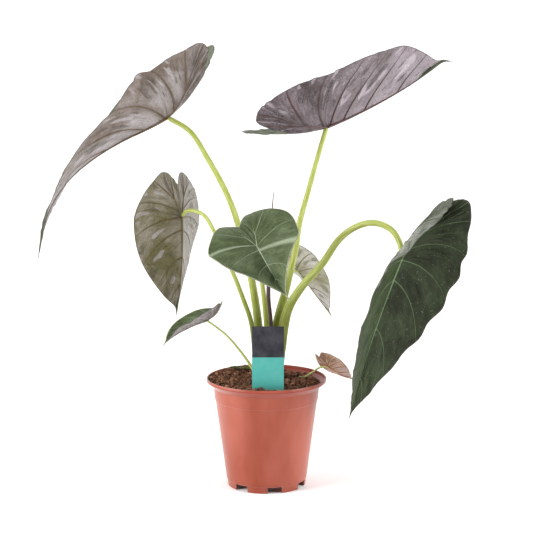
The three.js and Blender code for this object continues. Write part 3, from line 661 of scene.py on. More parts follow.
def along(values, share, ease=0.0):
    """The value at a share of the way to the tip, or to the lobes where negative, eased over the stalk."""
    def gone(way):
        if abs(way) < ease:
            return (way + ease) ** 2 / (4 * ease)
        return clamp01(way)
    lobes, base, tip = values
    return base + (tip - base) * gone(share) + (lobes - base) * gone(-share)


class Blade:
    """The surface of one leaf's blade, in millimetres."""

    def __init__(self, leaf):
        self.leaf = leaf
        drip = leaf["drip"]
        self.outline = [
            (1, 0), (1 - 0.46 * drip, 0.016), (1 - drip, 0.075), (0.89 - drip, 0.31), (0.6 - 0.3 * drip, 0.64),
            (0.3, 0.9), (0.04, 1), (-0.3, 0.95), (-0.66, 0.74), (-0.92, 0.46), (-1, 0.3), (-0.93, 0.15),
            (-leaf["sinus"], 0),
        ]
        self.attach = Vector(leaf["attach"])
        self.size = min(leaf["length"] / 250, 1.0)
        self.seed = 0.37 * leaf["length"]
        veins = leaf.get("veins", VEINS)
        self.veins = [*veins, LOBE_END, across_the_rib(veins[-1]), SINUS]
        self.stations = self.midrib()

    def turned(self, share):
        """How far the attitude has changed on the way to the tip or the lobes, eased over the stalk."""
        total = 0.0
        for nudge in range(-4, 5):
            place = min(max(share + nudge * EASE / 4, -1), 1)
            total += place ** self.leaf["late"] if place > 0 else (1 + place) ** self.leaf["early"] - 1
        return total / 9

    def midrib(self):
        leaf = self.leaf
        stations = []
        for i in range(-MIDRIB_STEPS, MIDRIB_STEPS + 1):
            share = i / MIDRIB_STEPS
            turned = self.turned(share)
            heading = math.radians(along((leaf["heading"][0], *leaf["heading"]), turned))
            hang = smoothstep(share, 1 - leaf["drip"], 1) * leaf["droop"]
            pitch = math.radians(along(leaf["pitch"], turned) + hang)
            roll = math.radians(along(leaf["roll"], turned))
            level = Vector((math.cos(heading), math.sin(heading), 0))
            ahead = level * math.cos(pitch) + Vector((0, 0, math.sin(pitch)))
            above = -level * math.sin(pitch) + Vector((0, 0, math.cos(pitch)))
            right = ahead.cross(above)
            up = above * math.cos(roll) - right * math.sin(roll)
            right = right * math.cos(roll) + above * math.sin(roll)
            stations.append([Vector(), ahead, up, right])
        for direction, length in ((1, leaf["length"]), (-1, leaf["lobe"])):
            for i in range(1, MIDRIB_STEPS + 1):
                here = stations[MIDRIB_STEPS + direction * i]
                before = stations[MIDRIB_STEPS + direction * (i - 1)]
                here[0] = before[0] + (here[1] + before[1]) * (direction * length / MIDRIB_STEPS / 2)
        return stations

    def frame(self, share):
        """Place, up and right at a share of the way along the midrib."""
        position = clamp01((share + 1) / 2) * 2 * MIDRIB_STEPS
        i = min(int(position), 2 * MIDRIB_STEPS - 1)
        here, following = self.stations[i], self.stations[i + 1]
        return [here[k].lerp(following[k], position - i) for k in (0, 2, 3)]

    def margin(self, step):
        last = len(self.outline) - 1
        i = min(int(step), last - 1)
        t = step - i
        picked = [self.outline[min(max(k, 0), last)] for k in (i - 1, i, i + 1, i + 2)]
        values = []
        for p0, p1, p2, p3 in zip(*picked):
            cubic = 3 * (p1 - p2) + p3 - p0
            square = 2 * p0 - 5 * p1 + 4 * p2 - p3
            values.append(0.5 * (2 * p1 + (p2 - p0) * t + square * t * t + cubic * t ** 3))
        return values[0], max(values[1], 0.0)

    def row(self, step):
        """The start, knee and end of the line along a side vein, flat: along the midrib and across from it."""
        leaf = self.leaf
        share_a, share_b = self.margin(step)
        end = Vector((share_a * (leaf["length"] if share_a > 0 else leaf["lobe"]), share_b * leaf["half_width"]))
        rib = rib_share(step)
        if rib > 0:
            start = Vector((-0.86 * leaf["lobe"], 0.3 * leaf["half_width"])) * rib
        else:
            start = Vector((leaf["length"] * clamp01((share_a + 0.09) / 1.09) ** 3, 0))
        inner = clamp01((step - LOBE_END) / 0.4)
        front = clamp01((SIDE - step) / 1.2)
        knee = Vector((lerp(start.x, end.x, lerp(lerp(0.4, 0.5, inner), 0.3, front)),
                       lerp(start.y, end.y, lerp(0.66, 0.5, inner))))
        knee.x -= lerp(0.26 * leaf["lobe"], 0.05 * leaf["length"], front) * share_b * clamp01((LOBE_END - step) / 1.5)
        return start, knee, end

    def at(self, side, step, out):
        """The place on a half (side 1 or -1) at an outline step, and out from rib (0) to margin (1)."""
        leaf = self.leaf
        start, knee, end = self.row(step)
        flat = start * (1 - out) ** 2 + knee * (2 * out * (1 - out)) + end * (out * out)
        turn = math.radians(leaf["phase"] + (0 if side > 0 else leaf["lag"]))
        ripple = 2 * math.pi * leaf["waves"]
        cut = math.sin(ripple * end.x / leaf["length"] + turn + 0.6)
        fade = clamp01((leaf["length"] - end.x) / (TIP_SHARE * leaf["length"]))
        a = flat.x
        b = flat.y * (1 + leaf["asymmetry"] * side) * (1 + leaf["scallop"] * out * out * cut * fade)
        b *= 1 + leaf.get("bulge", 0) * out ** 3 * fade * (math.sin(math.pi * bay_of(self.veins, step)[1]) - 0.6)
        half_width = leaf["half_width"] * (1 + leaf["asymmetry"] * side)
        share = a / leaf["length"] if a > 0 else a / leaf["lobe"]
        across = b / half_width
        fold = math.radians(along(leaf["fold"], share, EASE) + leaf["skew"] * side)
        curl = math.radians(along(leaf["curl"], share, EASE)) or 1e-4
        bent = fold + curl * across
        reach = half_width * (math.sin(bent) - math.sin(fold)) / curl
        rise = half_width * (math.cos(fold) - math.cos(bent)) / curl
        lift = leaf["wave"] * clamp01(across) ** 2 * math.sin(ripple * a / leaf["length"] + turn)
        lift *= clamp01(4 * (1 - max(share, 0)))
        lift += self.relief(side, step, out, flat, (end - start).length)
        place, up, right = self.frame(share)
        point = self.attach + place + right * (side * (reach - math.sin(bent) * lift))
        return point + up * (rise + math.cos(bent) * lift)

    def relief(self, side, step, out, flat, reach):
        """The rise of the pillows between the veins, their wrinkles, and a slow swell of the whole blade."""
        pillow = math.sin(math.pi * bay_of(self.veins, step)[1])
        quilt = self.leaf["puff"] * pillow ** 1.5 * abs(math.sin(math.pi * out)) ** 0.8
        swell = 1.2 * noise.noise(Vector((flat.x / 42, side * flat.y / 42, self.seed)))
        wrinkle = WRINKLE * self.ridge(side, step, out, reach)
        tip = clamp01((self.leaf["length"] - flat.x) / (TIP_SHARE * self.leaf["length"]))
        return quilt + self.size * tip * (swell * min(1.0, 3 * out) + wrinkle)

    def ridge(self, side, step, out, reach):
        """The wrinkles that run out between the veins, from -1 in their troughs to 1 on their crests."""
        pillow = math.sin(math.pi * bay_of(self.veins, step)[1])
        along_margin = 0.19 * self.leaf["length"] * step
        height = noise.noise(Vector((along_margin / 10, side * (9 + out * reach / 26), self.seed)))
        height += 0.5 * noise.noise(Vector((along_margin / 6, side * (17 + out * reach / 13), self.seed)))
        return height * pillow * smoothstep(out, 0.1, 0.5) * (1 - 0.5 * out * out)

    def face_up(self, side, step, out):
        """The direction of the blade's upper face."""
        nudge = 0.06
        low, high = max(step - nudge, 0.02), min(step + nudge, SINUS - 0.02)
        near, far = max(out - nudge, 0.02), min(out + nudge, 1.0)
        down_row = self.at(side, high, max(out, 0.1)) - self.at(side, low, max(out, 0.1))
        out_row = self.at(side, step, far) - self.at(side, step, near)
        return down_row.cross(out_row).normalized() * side


def rib_share(step):
    """How far out on the lobe's rib the row that ends at an outline step starts."""
    if step <= SIDE:
        return 0.0
    if step <= LOBE_END:
        return RIB_SHARE * ((step - SIDE) / (LOBE_END - SIDE)) ** 1.2
    return max(RIB_SHARE * (SINUS - step) / (SINUS - LOBE_END), 0.0)


def across_the_rib(step):
    """The outline step inside the lobe whose row starts where the given outer row does."""
    return LOBE_END + (SINUS - LOBE_END) * (1 - rib_share(step) / RIB_SHARE)


def bay_of(veins, step):
    """The bay between veins that an outline step is in, and the share of the way across it."""
    bay = next((k for k, vein in enumerate(veins) if vein >= step - 1e-9), len(veins) - 1)
    if bay == 0:
        return 0, 0.0
    return bay, clamp01((step - veins[bay - 1]) / (veins[bay] - veins[bay - 1]))


def station_steps(veins, rows_per_step):
    """Outline steps of the mesh's rows: they gather at the veins, and match on both sides of the lobe's rib."""
    steps = [0.0]
    for start, end in zip(veins, veins[1:]):
        if end > LOBE_END:
            break
        rows = 2 * max(2, round((end - start) * rows_per_step / 2))
        for i in range(1, rows + 1):
            share = i / rows
            steps.append(start + (end - start) * (share - 0.09 * math.sin(2 * math.pi * share)))
    outer = [step for step in steps if SIDE < step < LOBE_END]
    return steps + [across_the_rib(step) for step in reversed(outer)] + [SINUS]


def make_blade(leaf, finishes):
    blade = Blade(leaf)
    size = blade.size
    columns = round(lerp(*COLUMNS, size))
    veins = blade.veins
    steps = station_steps(veins, round(lerp(*ROWS, size)))
    rows = len(steps) - 1
    bm = bmesh.new()
    lines = bm.verts.layers.float_vector.new("lines")
    minor = bm.verts.layers.float.new("minor")
    raised = bm.verts.layers.float.new("raised")
    half = bm.verts.layers.float.new("half")
    uv_layer = bm.loops.layers.uv.new("leaf")
    for side in (1, -1):
        places = [[blade.at(side, step, column / columns) for column in range(columns + 1)] for step in steps]
        grid = bmesh.ops.create_grid(bm, x_segments=rows, y_segments=columns, size=0.5)["verts"]
        faces = list({face for vert in grid for face in vert.link_faces})
        for face in faces:
            for loop in face.loops:
                row = round((loop.vert.co.x + 0.5) * rows)
                loop[uv_layer].uv = (steps[row] / SINUS, loop.vert.co.y + 0.5)
        for vert in grid:
            row = round((vert.co.x + 0.5) * rows)
            column = round((vert.co.y + 0.5) * columns)
            out = column / columns
            here = places[row][column]
            before, after = max(row - 1, 0), min(row + 1, rows)
            per_step = (places[after][column] - places[before][column]).length / (steps[after] - steps[before])
            bay, share = bay_of(veins, steps[row])
            wide = (veins[bay] - veins[bay - 1]) * per_step if bay else 0.0
            to_vein = min(share, 1 - share) * wide
            if bay == 1 and share < 0.5 or bay == len(veins) - 1 and share > 0.5:
                to_vein = max(share, 1 - share) * wide
            from_rib = (here - places[row][0]).length
            row_length = (places[row][columns] - places[row][0]).length
            vein_width = lerp(0.8, 0.3, out) * (0.35 + 0.65 * size)
            rib_width = lerp(1.9, 0.6, clamp01((5 - steps[row]) / 5)) * (0.3 + 0.7 * size)
            vert[lines] = (to_vein / vein_width, from_rib / rib_width, (1 - out) * row_length)
            vert[minor] = abs(share - 0.5) * wide
            vert[raised] = blade.ridge(side, steps[row], out, row_length)
            vert[half] = side * min(1.0, 8 * out)
            vert.co = here
        if side < 0:
            bmesh.ops.reverse_faces(bm, faces=faces)
    bmesh.ops.remove_doubles(bm, verts=bm.verts, dist=1e-3)
    bmesh.ops.dissolve_degenerate(bm, dist=1e-4, edges=bm.edges)
    piece = put_away(bm, "leaf_" + leaf["name"], finishes, ["blade_" + leaf["name"]])
    thicken(piece, BLADE_THICKNESS, 1)
    return blade


def make_ribs(blade, finish):
    """The ribs and side veins that stand out from a blade's underside."""
    stout = 0.3 + 0.7 * blade.size
    bm = bmesh.new()
    below = BLADE_THICKNESS / 2

    def rib(places, ups, radii, sides=8):
        centres = [place - up * (below + 0.45 * radius) for place, up, radius in zip(places, ups, radii)]
        count = len(radii) - 1
        tube(bm, centres, lambda share, spoke: radii[round(share * count)], sides)

    shares = [0.97 * i / MIDRIB_PARTS for i in range(MIDRIB_PARTS + 1)]
    frames = [blade.frame(share) for share in shares]
    radii = [stout * lerp(2.0, 0.35, share ** 0.6) for share in shares]
    rib([blade.attach + place for place, _, _ in frames], [up for _, up, _ in frames], radii, 12)
    for side in (1, -1):
        shares = [i / LOBE_RIB_PARTS for i in range(LOBE_RIB_PARTS + 1)]
        steps = [SIDE + (LOBE_END - SIDE) * share for share in shares]
        places = [blade.at(side, step, 0) for step in steps]
        ups = [blade.face_up(side, step, 0) for step in steps]
        rib(places, ups, [stout * lerp(1.5, 0.35, share) for share in shares], 10)
        for vein in blade.veins[1:-1]:
            if vein == LOBE_END:
                continue
            outs = [0.96 * i / VEIN_PARTS for i in range(VEIN_PARTS + 1)]
            places = [blade.at(side, vein, out) for out in outs]
            ups = [blade.face_up(side, vein, out) for out in outs]
            rib(places, ups, [stout * lerp(0.75, 0.16, out) for out in outs], 6)
    put_away(bm, "ribs_" + blade.leaf["name"], [finish])


# ---------------------------------------------------------------------------------------------- settings

def length(name, description, default):
    return FloatProperty(name=name, description=description, default=default * MM, min=0, subtype="DISTANCE",
                         unit="LENGTH")


def colour(name, description, default):
    return FloatVectorProperty(name=name, description=description, default=default, size=3, min=0, max=1,
                               subtype="COLOR")


class PotSettings(bpy.types.PropertyGroup):
    height: length("Height", "Height of the pot", POT_HEIGHT)
    rim_radius: length("Rim radius", "Outer radius of the pot's lip", RIM_RADIUS)
    plastic: colour("Plastic", "Colour of the pot", srgb(156, 62, 32))


class SoilSettings(bpy.types.PropertyGroup):
    crumbs: IntProperty(name="Crumbs", description="Number of loose crumbs on the soil", default=1500, min=0)
    fibres: IntProperty(name="Fibres", description="Number of fibres on the soil", default=640, min=0)
    dark: colour("Dark peat", "Darkest colour of the soil", srgb(30, 16, 9))
    light: colour("Light peat", "Lightest colour of the soil", srgb(158, 108, 82))


class LabelSettings(bpy.types.PropertyGroup):
    width: length("Width", "Width of the plant label", LABEL_WIDTH)
    upper: colour("Upper panel", "Colour of the label's upper panel", srgb(42, 41, 51))
    lower: colour("Lower panel", "Colour of the label's lower panel", srgb(80, 178, 168))


class LeafSettings(bpy.types.PropertyGroup):
    stalk_green: colour("Stalk", "Colour of the leaf stalks", srgb(156, 168, 44))
    stalk_pale: colour("Pale streaks", "Colour of the pale streaks on the stalks", srgb(216, 223, 140))


class StageSettings(bpy.types.PropertyGroup):
    floor: colour("Floor", "Colour of the floor", (0.97, 0.97, 0.97))
    softness: FloatProperty(name="Light", description="Strength of the soft surrounding light", default=1.0, min=0)


# ---------------------------------------------------------------------------------------------- pieces

def inner_face():
    """Radius and height along the pot's inner face, from the floor up."""
    return [
        (FOOT_RADIUS + FOOT_STEP - WALL + 0.6, FOOT_HEIGHT + FLOOR_THICKNESS),
        (BODY_TOP_RADIUS - WALL, BODY_TOP),
        (COLLAR_TOP_RADIUS - WALL, COLLAR_TOP + 1),
        (RIM_RADIUS - LIP_WALL - 0.4, POT_HEIGHT - LIP_HEIGHT + 1),
        (RIM_RADIUS - LIP_WALL, POT_HEIGHT - 0.5),
    ]


def inner_radius(z):
    face = inner_face()
    for (r0, z0), (r1, z1) in zip(face, face[1:]):
        if z <= z1:
            return lerp(r0, r1, clamp01((z - z0) / (z1 - z0)))
    return face[-1][0]


def soil_height(x, y):
    away = ((x - HEAP_X) ** 2 + (y - HEAP_Y) ** 2) / (2 * HEAP_SPREAD ** 2)
    clods = 0.9 * math.sin(0.23 * x + 0.11 * y) * math.cos(0.19 * y - 0.07 * x)
    crumbs = 0.6 * math.sin(0.41 * x + 0.6) * math.sin(0.37 * y + 1)
    return SOIL_LEVEL + HEAP_HEIGHT * math.exp(-away) + clods + crumbs


def soil_edge(angle):
    low = 0.5 + 0.5 * math.cos(angle - math.radians(SOIL_LOW_SIDE))
    return lerp(SOIL_EDGE_HIGH, SOIL_EDGE_LOW, low ** 1.5)


def soil_surface(x, y):
    """Height of the dressed soil, heap and clods included."""
    angle = math.atan2(y, x)
    edge = soil_edge(angle)
    share = min(math.hypot(x, y) / (inner_radius(edge) - SOIL_PLAY), 1.0)
    base = lerp(soil_height(x, y), edge, share ** 6)
    rough = noise.noise(Vector((x, y, 3)) * 0.16) * 1.6
    rough += abs(noise.noise(Vector((x, y, 9)) * 0.42)) * 2.4 - 0.7
    rough += noise.noise(Vector((x, y, 5)) * 1.1) * 0.5
    return base + rough


def spin_profile(bm, profile, steps):
    """A profile of (radius, height) turned about the upright axis, closed and facing out."""
    verts = [bm.verts.new((r, 0, z)) for r, z in profile]
    edges = [bm.edges.new(pair) for pair in zip(verts, verts[1:])]
    bmesh.ops.spin(bm, geom=verts + edges, cent=(0, 0, 0), axis=(0, 0, 1), dvec=(0, 0, 0), angle=2 * math.pi,
                   steps=steps, use_merge=True, use_duplicate=False)
    bmesh.ops.remove_doubles(bm, verts=bm.verts, dist=1e-4)
    bmesh.ops.recalc_face_normals(bm, faces=bm.faces)


class PLANT_OT_pot(bpy.types.Operator):
    """Turn the grow pot and cut the notches in its foot"""
    bl_idname = "plant.pot"
    bl_label = "Make pot"

    def execute(self, context):
        settings = context.scene.plant_pot
        outer = [
            (0, 0), (CENTRE_PAD_RADIUS - 0.4, 0), (CENTRE_PAD_RADIUS, 0.4), (CENTRE_PAD_RADIUS + 0.8, FOOT_HEIGHT),
            (FOOT_RADIUS - WALL - 0.4, FOOT_HEIGHT),
            (FOOT_RADIUS - WALL - 0.41, NOTCH_HEIGHT),
            (FOOT_RADIUS - WALL - 0.6, 0.25), (FOOT_RADIUS - WALL - 0.35, 0), (FOOT_RADIUS - 0.25, 0),
            (FOOT_RADIUS, 0.25),
            (FOOT_RADIUS + 0.96, NOTCH_HEIGHT),
            (FOOT_RADIUS + 1, FOOT_HEIGHT - 0.3), (FOOT_RADIUS + 1.25, FOOT_HEIGHT - 0.05),
            (FOOT_RADIUS + 1 + FOOT_STEP, FOOT_HEIGHT + 0.3),
            (FOOT_RADIUS + 1.1 + FOOT_STEP, FOOT_HEIGHT + 1.2),
            (lerp(FOOT_RADIUS + 1 + FOOT_STEP, BODY_TOP_RADIUS, 0.5), lerp(FOOT_HEIGHT, BODY_TOP, 0.5)),
            (BODY_TOP_RADIUS - 0.15, BODY_TOP - 1), (BODY_TOP_RADIUS, BODY_TOP - 0.15),
            (BODY_TOP_RADIUS + COLLAR_STEP, BODY_TOP + 0.5), (BODY_TOP_RADIUS + COLLAR_STEP + 0.12, BODY_TOP + 1.4),
            (COLLAR_TOP_RADIUS - 0.05, COLLAR_TOP - 2), (COLLAR_TOP_RADIUS + 0.2, COLLAR_TOP - 0.8),
            (COLLAR_TOP_RADIUS + 0.8, COLLAR_TOP), (COLLAR_TOP_RADIUS + 1.9, COLLAR_TOP + 0.9),
            (FLANGE_TOP_RADIUS - 1.2, POT_HEIGHT - LIP_HEIGHT - 0.7),
            (FLANGE_TOP_RADIUS - 0.2, POT_HEIGHT - LIP_HEIGHT),
            (RIM_RADIUS - 0.1, POT_HEIGHT - LIP_HEIGHT + 0.6), (RIM_RADIUS, POT_HEIGHT - LIP_HEIGHT + 1.3),
            (RIM_RADIUS, POT_HEIGHT - 0.9), (RIM_RADIUS - 0.25, POT_HEIGHT - 0.25), (RIM_RADIUS - 0.8, POT_HEIGHT),
            (RIM_RADIUS - LIP_WALL + 0.5, POT_HEIGHT),
        ]
        profile = outer + list(reversed(inner_face())) + [(0, FOOT_HEIGHT + FLOOR_THICKNESS)]
        bm = bmesh.new()
        spin_profile(bm, profile, SPIN_STEPS)
        step = 2 * math.pi / SPIN_STEPS
        first = round(math.radians(FIRST_NOTCH_ANGLE) / step - NOTCH_STEPS / 2) * step
        sector = SPIN_STEPS // NOTCH_COUNT
        cut = []
        for face in bm.faces:
            centre = face.calc_center_median()
            radius = math.hypot(centre.x, centre.y)
            turn = (math.atan2(centre.y, centre.x) - first) / step % sector
            if turn < NOTCH_STEPS and centre.z < NOTCH_HEIGHT and FOOT_RADIUS - 2 * WALL < radius < FOOT_RADIUS + 1:
                cut.append(face)
        bmesh.ops.delete(bm, geom=cut, context="FACES")
        open_edges = [edge for edge in bm.edges if edge.is_boundary]
        tops = [edge for edge in open_edges if all(abs(v.co.z - NOTCH_HEIGHT) < 1e-3 for v in edge.verts)]
        bmesh.ops.bridge_loops(bm, edges=tops)
        bmesh.ops.holes_fill(bm, edges=[edge for edge in bm.edges if edge.is_boundary], sides=12)
        bmesh.ops.recalc_face_normals(bm, faces=bm.faces)
        for edge in bm.edges:
            if len(edge.link_faces) == 2 and edge.calc_face_angle() > math.radians(38):
                edge.smooth = False
        wide = settings.rim_radius / MM / RIM_RADIUS
        bmesh.ops.scale(bm, vec=(wide, wide, settings.height / MM / POT_HEIGHT), verts=bm.verts)
        put_away(bm, "grow_pot", [pot_finish(settings.plastic)], ["pot"])
        return {"FINISHED"}


class PLANT_OT_soil(bpy.types.Operator):
    """Fill the pot with soil, and strew crumbs and fibres over it"""
    bl_idname = "plant.soil"
    bl_label = "Fill with soil"

    def execute(self, context):
        settings = context.scene.plant_soil
        heights = (COLLAR_TOP + 1.2, BODY_TOP, FOOT_HEIGHT + FLOOR_THICKNESS + GAP)
        walls = [(inner_radius(z) - SOIL_PLAY, z) for z in heights]
        top = [(ring / SOIL_RINGS * SOIL_DISC, SOIL_LEVEL) for ring in range(SOIL_RINGS + 1)]
        bm = bmesh.new()
        spin_profile(bm, top + walls + [(0, walls[-1][1])], SOIL_STEPS)
        for vert in bm.verts:
            if vert.co.z < SOIL_LEVEL - 1:
                continue
            angle = math.atan2(vert.co.y, vert.co.x)
            reach = (inner_radius(soil_edge(angle)) - SOIL_PLAY) * math.hypot(vert.co.x, vert.co.y) / SOIL_DISC
            x, y = reach * math.cos(angle), reach * math.sin(angle)
            vert.co = (x, y, soil_surface(x, y))
        bm.verts.layers.float.new("tint")
        finish = soil_finish("soil", tuple(settings.dark), tuple(settings.light))
        put_away(bm, "soil_fill", [finish], ["soil"])
        self.strew(settings, finish)
        return {"FINISHED"}

    def strew(self, settings, finish):
        draw = random.Random(SEED)

        def spot():
            angle = draw.uniform(-math.pi, math.pi)
            far = (inner_radius(soil_edge(angle)) - 4) * math.sqrt(draw.random())
            x, y = far * math.cos(angle), far * math.sin(angle)
            return Vector((x, y, soil_surface(x, y)))

        bm = bmesh.new()
        tint = bm.verts.layers.float.new("tint")
        for _ in range(settings.crumbs):
            place = spot()
            size = draw.uniform(0.7, 2.2) + 2.6 * draw.random() ** 5
            made = bmesh.ops.create_icosphere(bm, subdivisions=1, radius=size)["verts"]
            flat = Vector((draw.uniform(0.6, 1.7), draw.uniform(0.6, 1.1), draw.uniform(0.5, 1.1)))
            shade = draw.random() ** 2
            turn = draw.uniform(0, math.pi)
            for vert in made:
                x, y, z = (vert.co[k] * flat[k] * draw.uniform(0.75, 1.2) for k in range(3))
                vert.co = place + Vector((x * math.cos(turn) - y * math.sin(turn),
                                          x * math.sin(turn) + y * math.cos(turn), z + 0.25 * size))
                vert[tint] = shade
        put_away(bm, "soil_crumbs", [finish], smooth=False)

        bm = bmesh.new()
        tint = bm.verts.layers.float.new("tint")
        for _ in range(settings.fibres):
            place = spot()
            heading = draw.uniform(0, 2 * math.pi)
            reach = draw.uniform(3, 12)
            lift = draw.uniform(0.6, 3.2)
            bow = draw.uniform(-0.5, 0.5)
            centres = []
            for i in range(7):
                share = i / 6 - 0.5
                turn = heading + bow * share * 2
                x = place.x + reach * share * math.cos(turn)
                y = place.y + reach * share * math.sin(turn)
                centres.append(Vector((x, y, soil_surface(x, y) + lift * (1 - 2.4 * share * share) + 0.3)))
            thick = draw.uniform(0.16, 0.42)
            before = len(bm.verts)
            tube(bm, centres, lambda share, spoke: thick * (1 - 0.5 * abs(2 * share - 1)), 4)
            bm.verts.ensure_lookup_table()
            shade = 0.25 + 0.75 * draw.random()
            for vert in bm.verts[before:]:
                vert[tint] = shade
        put_away(bm, "soil_fibres", [finish])


class PLANT_OT_label(bpy.types.Operator):
    """Cut the plant label and its stake"""
    bl_idname = "plant.label"
    bl_label = "Make label"

    def execute(self, context):
        settings = context.scene.plant_label
        half = settings.width / MM / 2
        stake = STAKE_WIDTH / 2
        corners = [
            (-half, LABEL_TOP), (-half, LABEL_SHOULDER), (-stake, LABEL_SHOULDER - 6),
            (-stake * 0.8, STAKE_BOTTOM + 10), (0, STAKE_BOTTOM), (stake * 0.8, STAKE_BOTTOM + 10),
            (stake, LABEL_SHOULDER - 6), (half, LABEL_SHOULDER), (half, LABEL_TOP),
        ]
        bm = bmesh.new()
        front = LABEL_Y - LABEL_THICKNESS / 2
        card = bm.faces.new([bm.verts.new((LABEL_X + x, front, z)) for x, z in corners])
        made = bmesh.ops.extrude_face_region(bm, geom=[card])["geom"]
        back = [item for item in made if isinstance(item, bmesh.types.BMVert)]
        bmesh.ops.translate(bm, verts=back, vec=(0, LABEL_THICKNESS, 0))
        upright = [edge for edge in bm.edges
                   if abs(edge.verts[0].co.y - edge.verts[1].co.y) > 0.1 and edge.verts[0].co.z > LABEL_TOP - 1]
        bmesh.ops.bevel(bm, geom=upright, offset=1.2, offset_type="OFFSET", segments=4, profile=0.5, affect="EDGES",
                        material=-1)
        bmesh.ops.recalc_face_normals(bm, faces=bm.faces)
        rim = [edge for edge in bm.edges if len(edge.link_faces) == 2 and edge.calc_face_angle() > 1.2]
        bmesh.ops.bevel(bm, geom=rim, offset=0.12, offset_type="OFFSET", segments=2, profile=0.5, affect="EDGES",
                        material=-1)
        whole = bm.verts[:] + bm.edges[:] + bm.faces[:]
        bmesh.ops.bisect_plane(bm, geom=whole, plane_co=(0, 0, LABEL_PANEL_SPLIT), plane_no=(0, 0, 1))
        for face in bm.faces:
            face.material_index = 0 if face.calc_center_median().z > LABEL_PANEL_SPLIT else 1
        finishes = [label_finish("label_upper", settings.upper), label_finish("label_lower", settings.lower)]
        put_away(bm, "plant_label_card", finishes, ["plant_label"], smooth=False)
        return {"FINISHED"}


class PLANT_OT_blades(bpy.types.Operator):
    """Grow the eight leaf blades with their ribs and veins"""
    bl_idname = "plant.blades"
    bl_label = "Grow blades"

    def execute(self, context):
        over = {name: upper_face("upper_" + name, *look) for name, look in OVER.items()}
        under = {name: under_face("under_" + name, *look) for name, look in UNDER.items()}
        ribs = {name: rib_finish("ribs_" + name, srgb(*look[0][3]), srgb(*look[0][0])) for name, look in UNDER.items()}
        for leaf in LEAVES:
            blade = make_blade(leaf, [over[leaf["over"]], under[leaf["under"]]])
            make_ribs(blade, ribs[leaf["under"]])
        return {"FINISHED"}


class PLANT_OT_stalks(bpy.types.Operator):
    """Grow the leaf stalks from the soil to the blades"""
    bl_idname = "plant.stalks"
    bl_label = "Grow stalks"

    def execute(self, context):
        settings = context.scene.plant_leaves
        green, pale = tuple(settings.stalk_green), tuple(settings.stalk_pale)
        finish = stalk_finish("leaf_stalk", green, pale, 0.95)
        young = stalk_finish("young_stalk", tuple(0.4 * a + 0.6 * b for a, b in zip(green, pale)), pale, 0.0)
        for leaf in LEAVES:
            foot, *rest = leaf["stalk"]
            path = [(*foot, STALK_ROOT), (*foot, SOIL_LEVEL), *rest, leaf["attach"]]
            centres = smooth_path(path, STALK_PARTS)
            whole = sum((b - a).length for a, b in zip(centres, centres[1:]))
            wide, slim = leaf["radius"]
            turn = math.radians(leaf["wing_side"])
            outward = Vector((math.cos(turn), math.sin(turn), 0))

            def radius_at(share, spoke):
                radius = lerp(slim, wide, (1 - share) ** 1.6)
                sheath = leaf["wing"] * clamp01(1 - abs(share - 0.22) / 0.24)
                radius += sheath * max(0.0, spoke.dot(outward)) ** 2
                left = (1 - share) * whole / (1.3 * slim)
                return radius * math.sqrt(clamp01(1 - (1 - min(left, 1.0)) ** 2))

            bm = bmesh.new()
            tube(bm, centres, radius_at, STALK_SIDES)
            skin = young if leaf["length"] < YOUNG_LENGTH else finish
            put_away(bm, "petiole_" + leaf["name"], [skin], ["stalk_" + leaf["name"]])
        return {"FINISHED"}


class PLANT_OT_new_leaf(bpy.types.Operator):
    """Roll up the new leaf among the stalks"""
    bl_idname = "plant.new_leaf"
    bl_label = "Roll new leaf"

    def execute(self, context):
        centres = smooth_path(NEW_LEAF_PATH, 80)
        last = len(NEW_LEAF_RADII) - 1

        def radius_at(share, spoke):
            position = share * last
            i = min(int(position), last - 1)
            radius = lerp(NEW_LEAF_RADII[i], NEW_LEAF_RADII[i + 1], position - i)
            wrap = math.atan2(spoke.y, spoke.x) / (2 * math.pi) + 3 * share
            return radius * (1 - 0.16 * (wrap % 1))

        bm = bmesh.new()
        tube(bm, centres, radius_at, 28)
        put_away(bm, "new_leaf", [furled_finish()], ["new_leaf_furled"])
        return {"FINISHED"}


class PLANT_OT_spent_leaf(bpy.types.Operator):
    """Lay the spent leaf on the soil"""
    bl_idname = "plant.spent_leaf"
    bl_label = "Lay spent leaf"

    def execute(self, context):
        leaf = SPENT_LEAF
        turn = math.radians(leaf["angle"])
        bm = bmesh.new()
        for vert in bmesh.ops.create_grid(bm, x_segments=40, y_segments=14, size=0.5)["verts"]:
            share, across = vert.co.x + 0.5, 2 * vert.co.y
            half = leaf["width"] / 2 * math.sin(math.pi * (0.02 + 0.96 * share)) ** 0.8
            x, y = (share - 0.5) * leaf["length"], across * half
            x, y = x * math.cos(turn) - y * math.sin(turn), x * math.sin(turn) + y * math.cos(turn)
            x, y = x + leaf["x"], y + leaf["y"]
            crinkle = 0.5 * noise.noise(Vector((6 * share, 3 * across, 1)))
            rise = leaf["rise"] + leaf["thickness"] / 2 + 1.4 * abs(across) ** 1.6 + crinkle
            vert.co = (x, y, soil_height(x, y) + rise + 1.2)
        piece = put_away(bm, "spent_leaf_blade", [spent_finish()], ["spent_leaf"])
        thicken(piece, SPENT_THICKNESS)
        return {"FINISHED"}


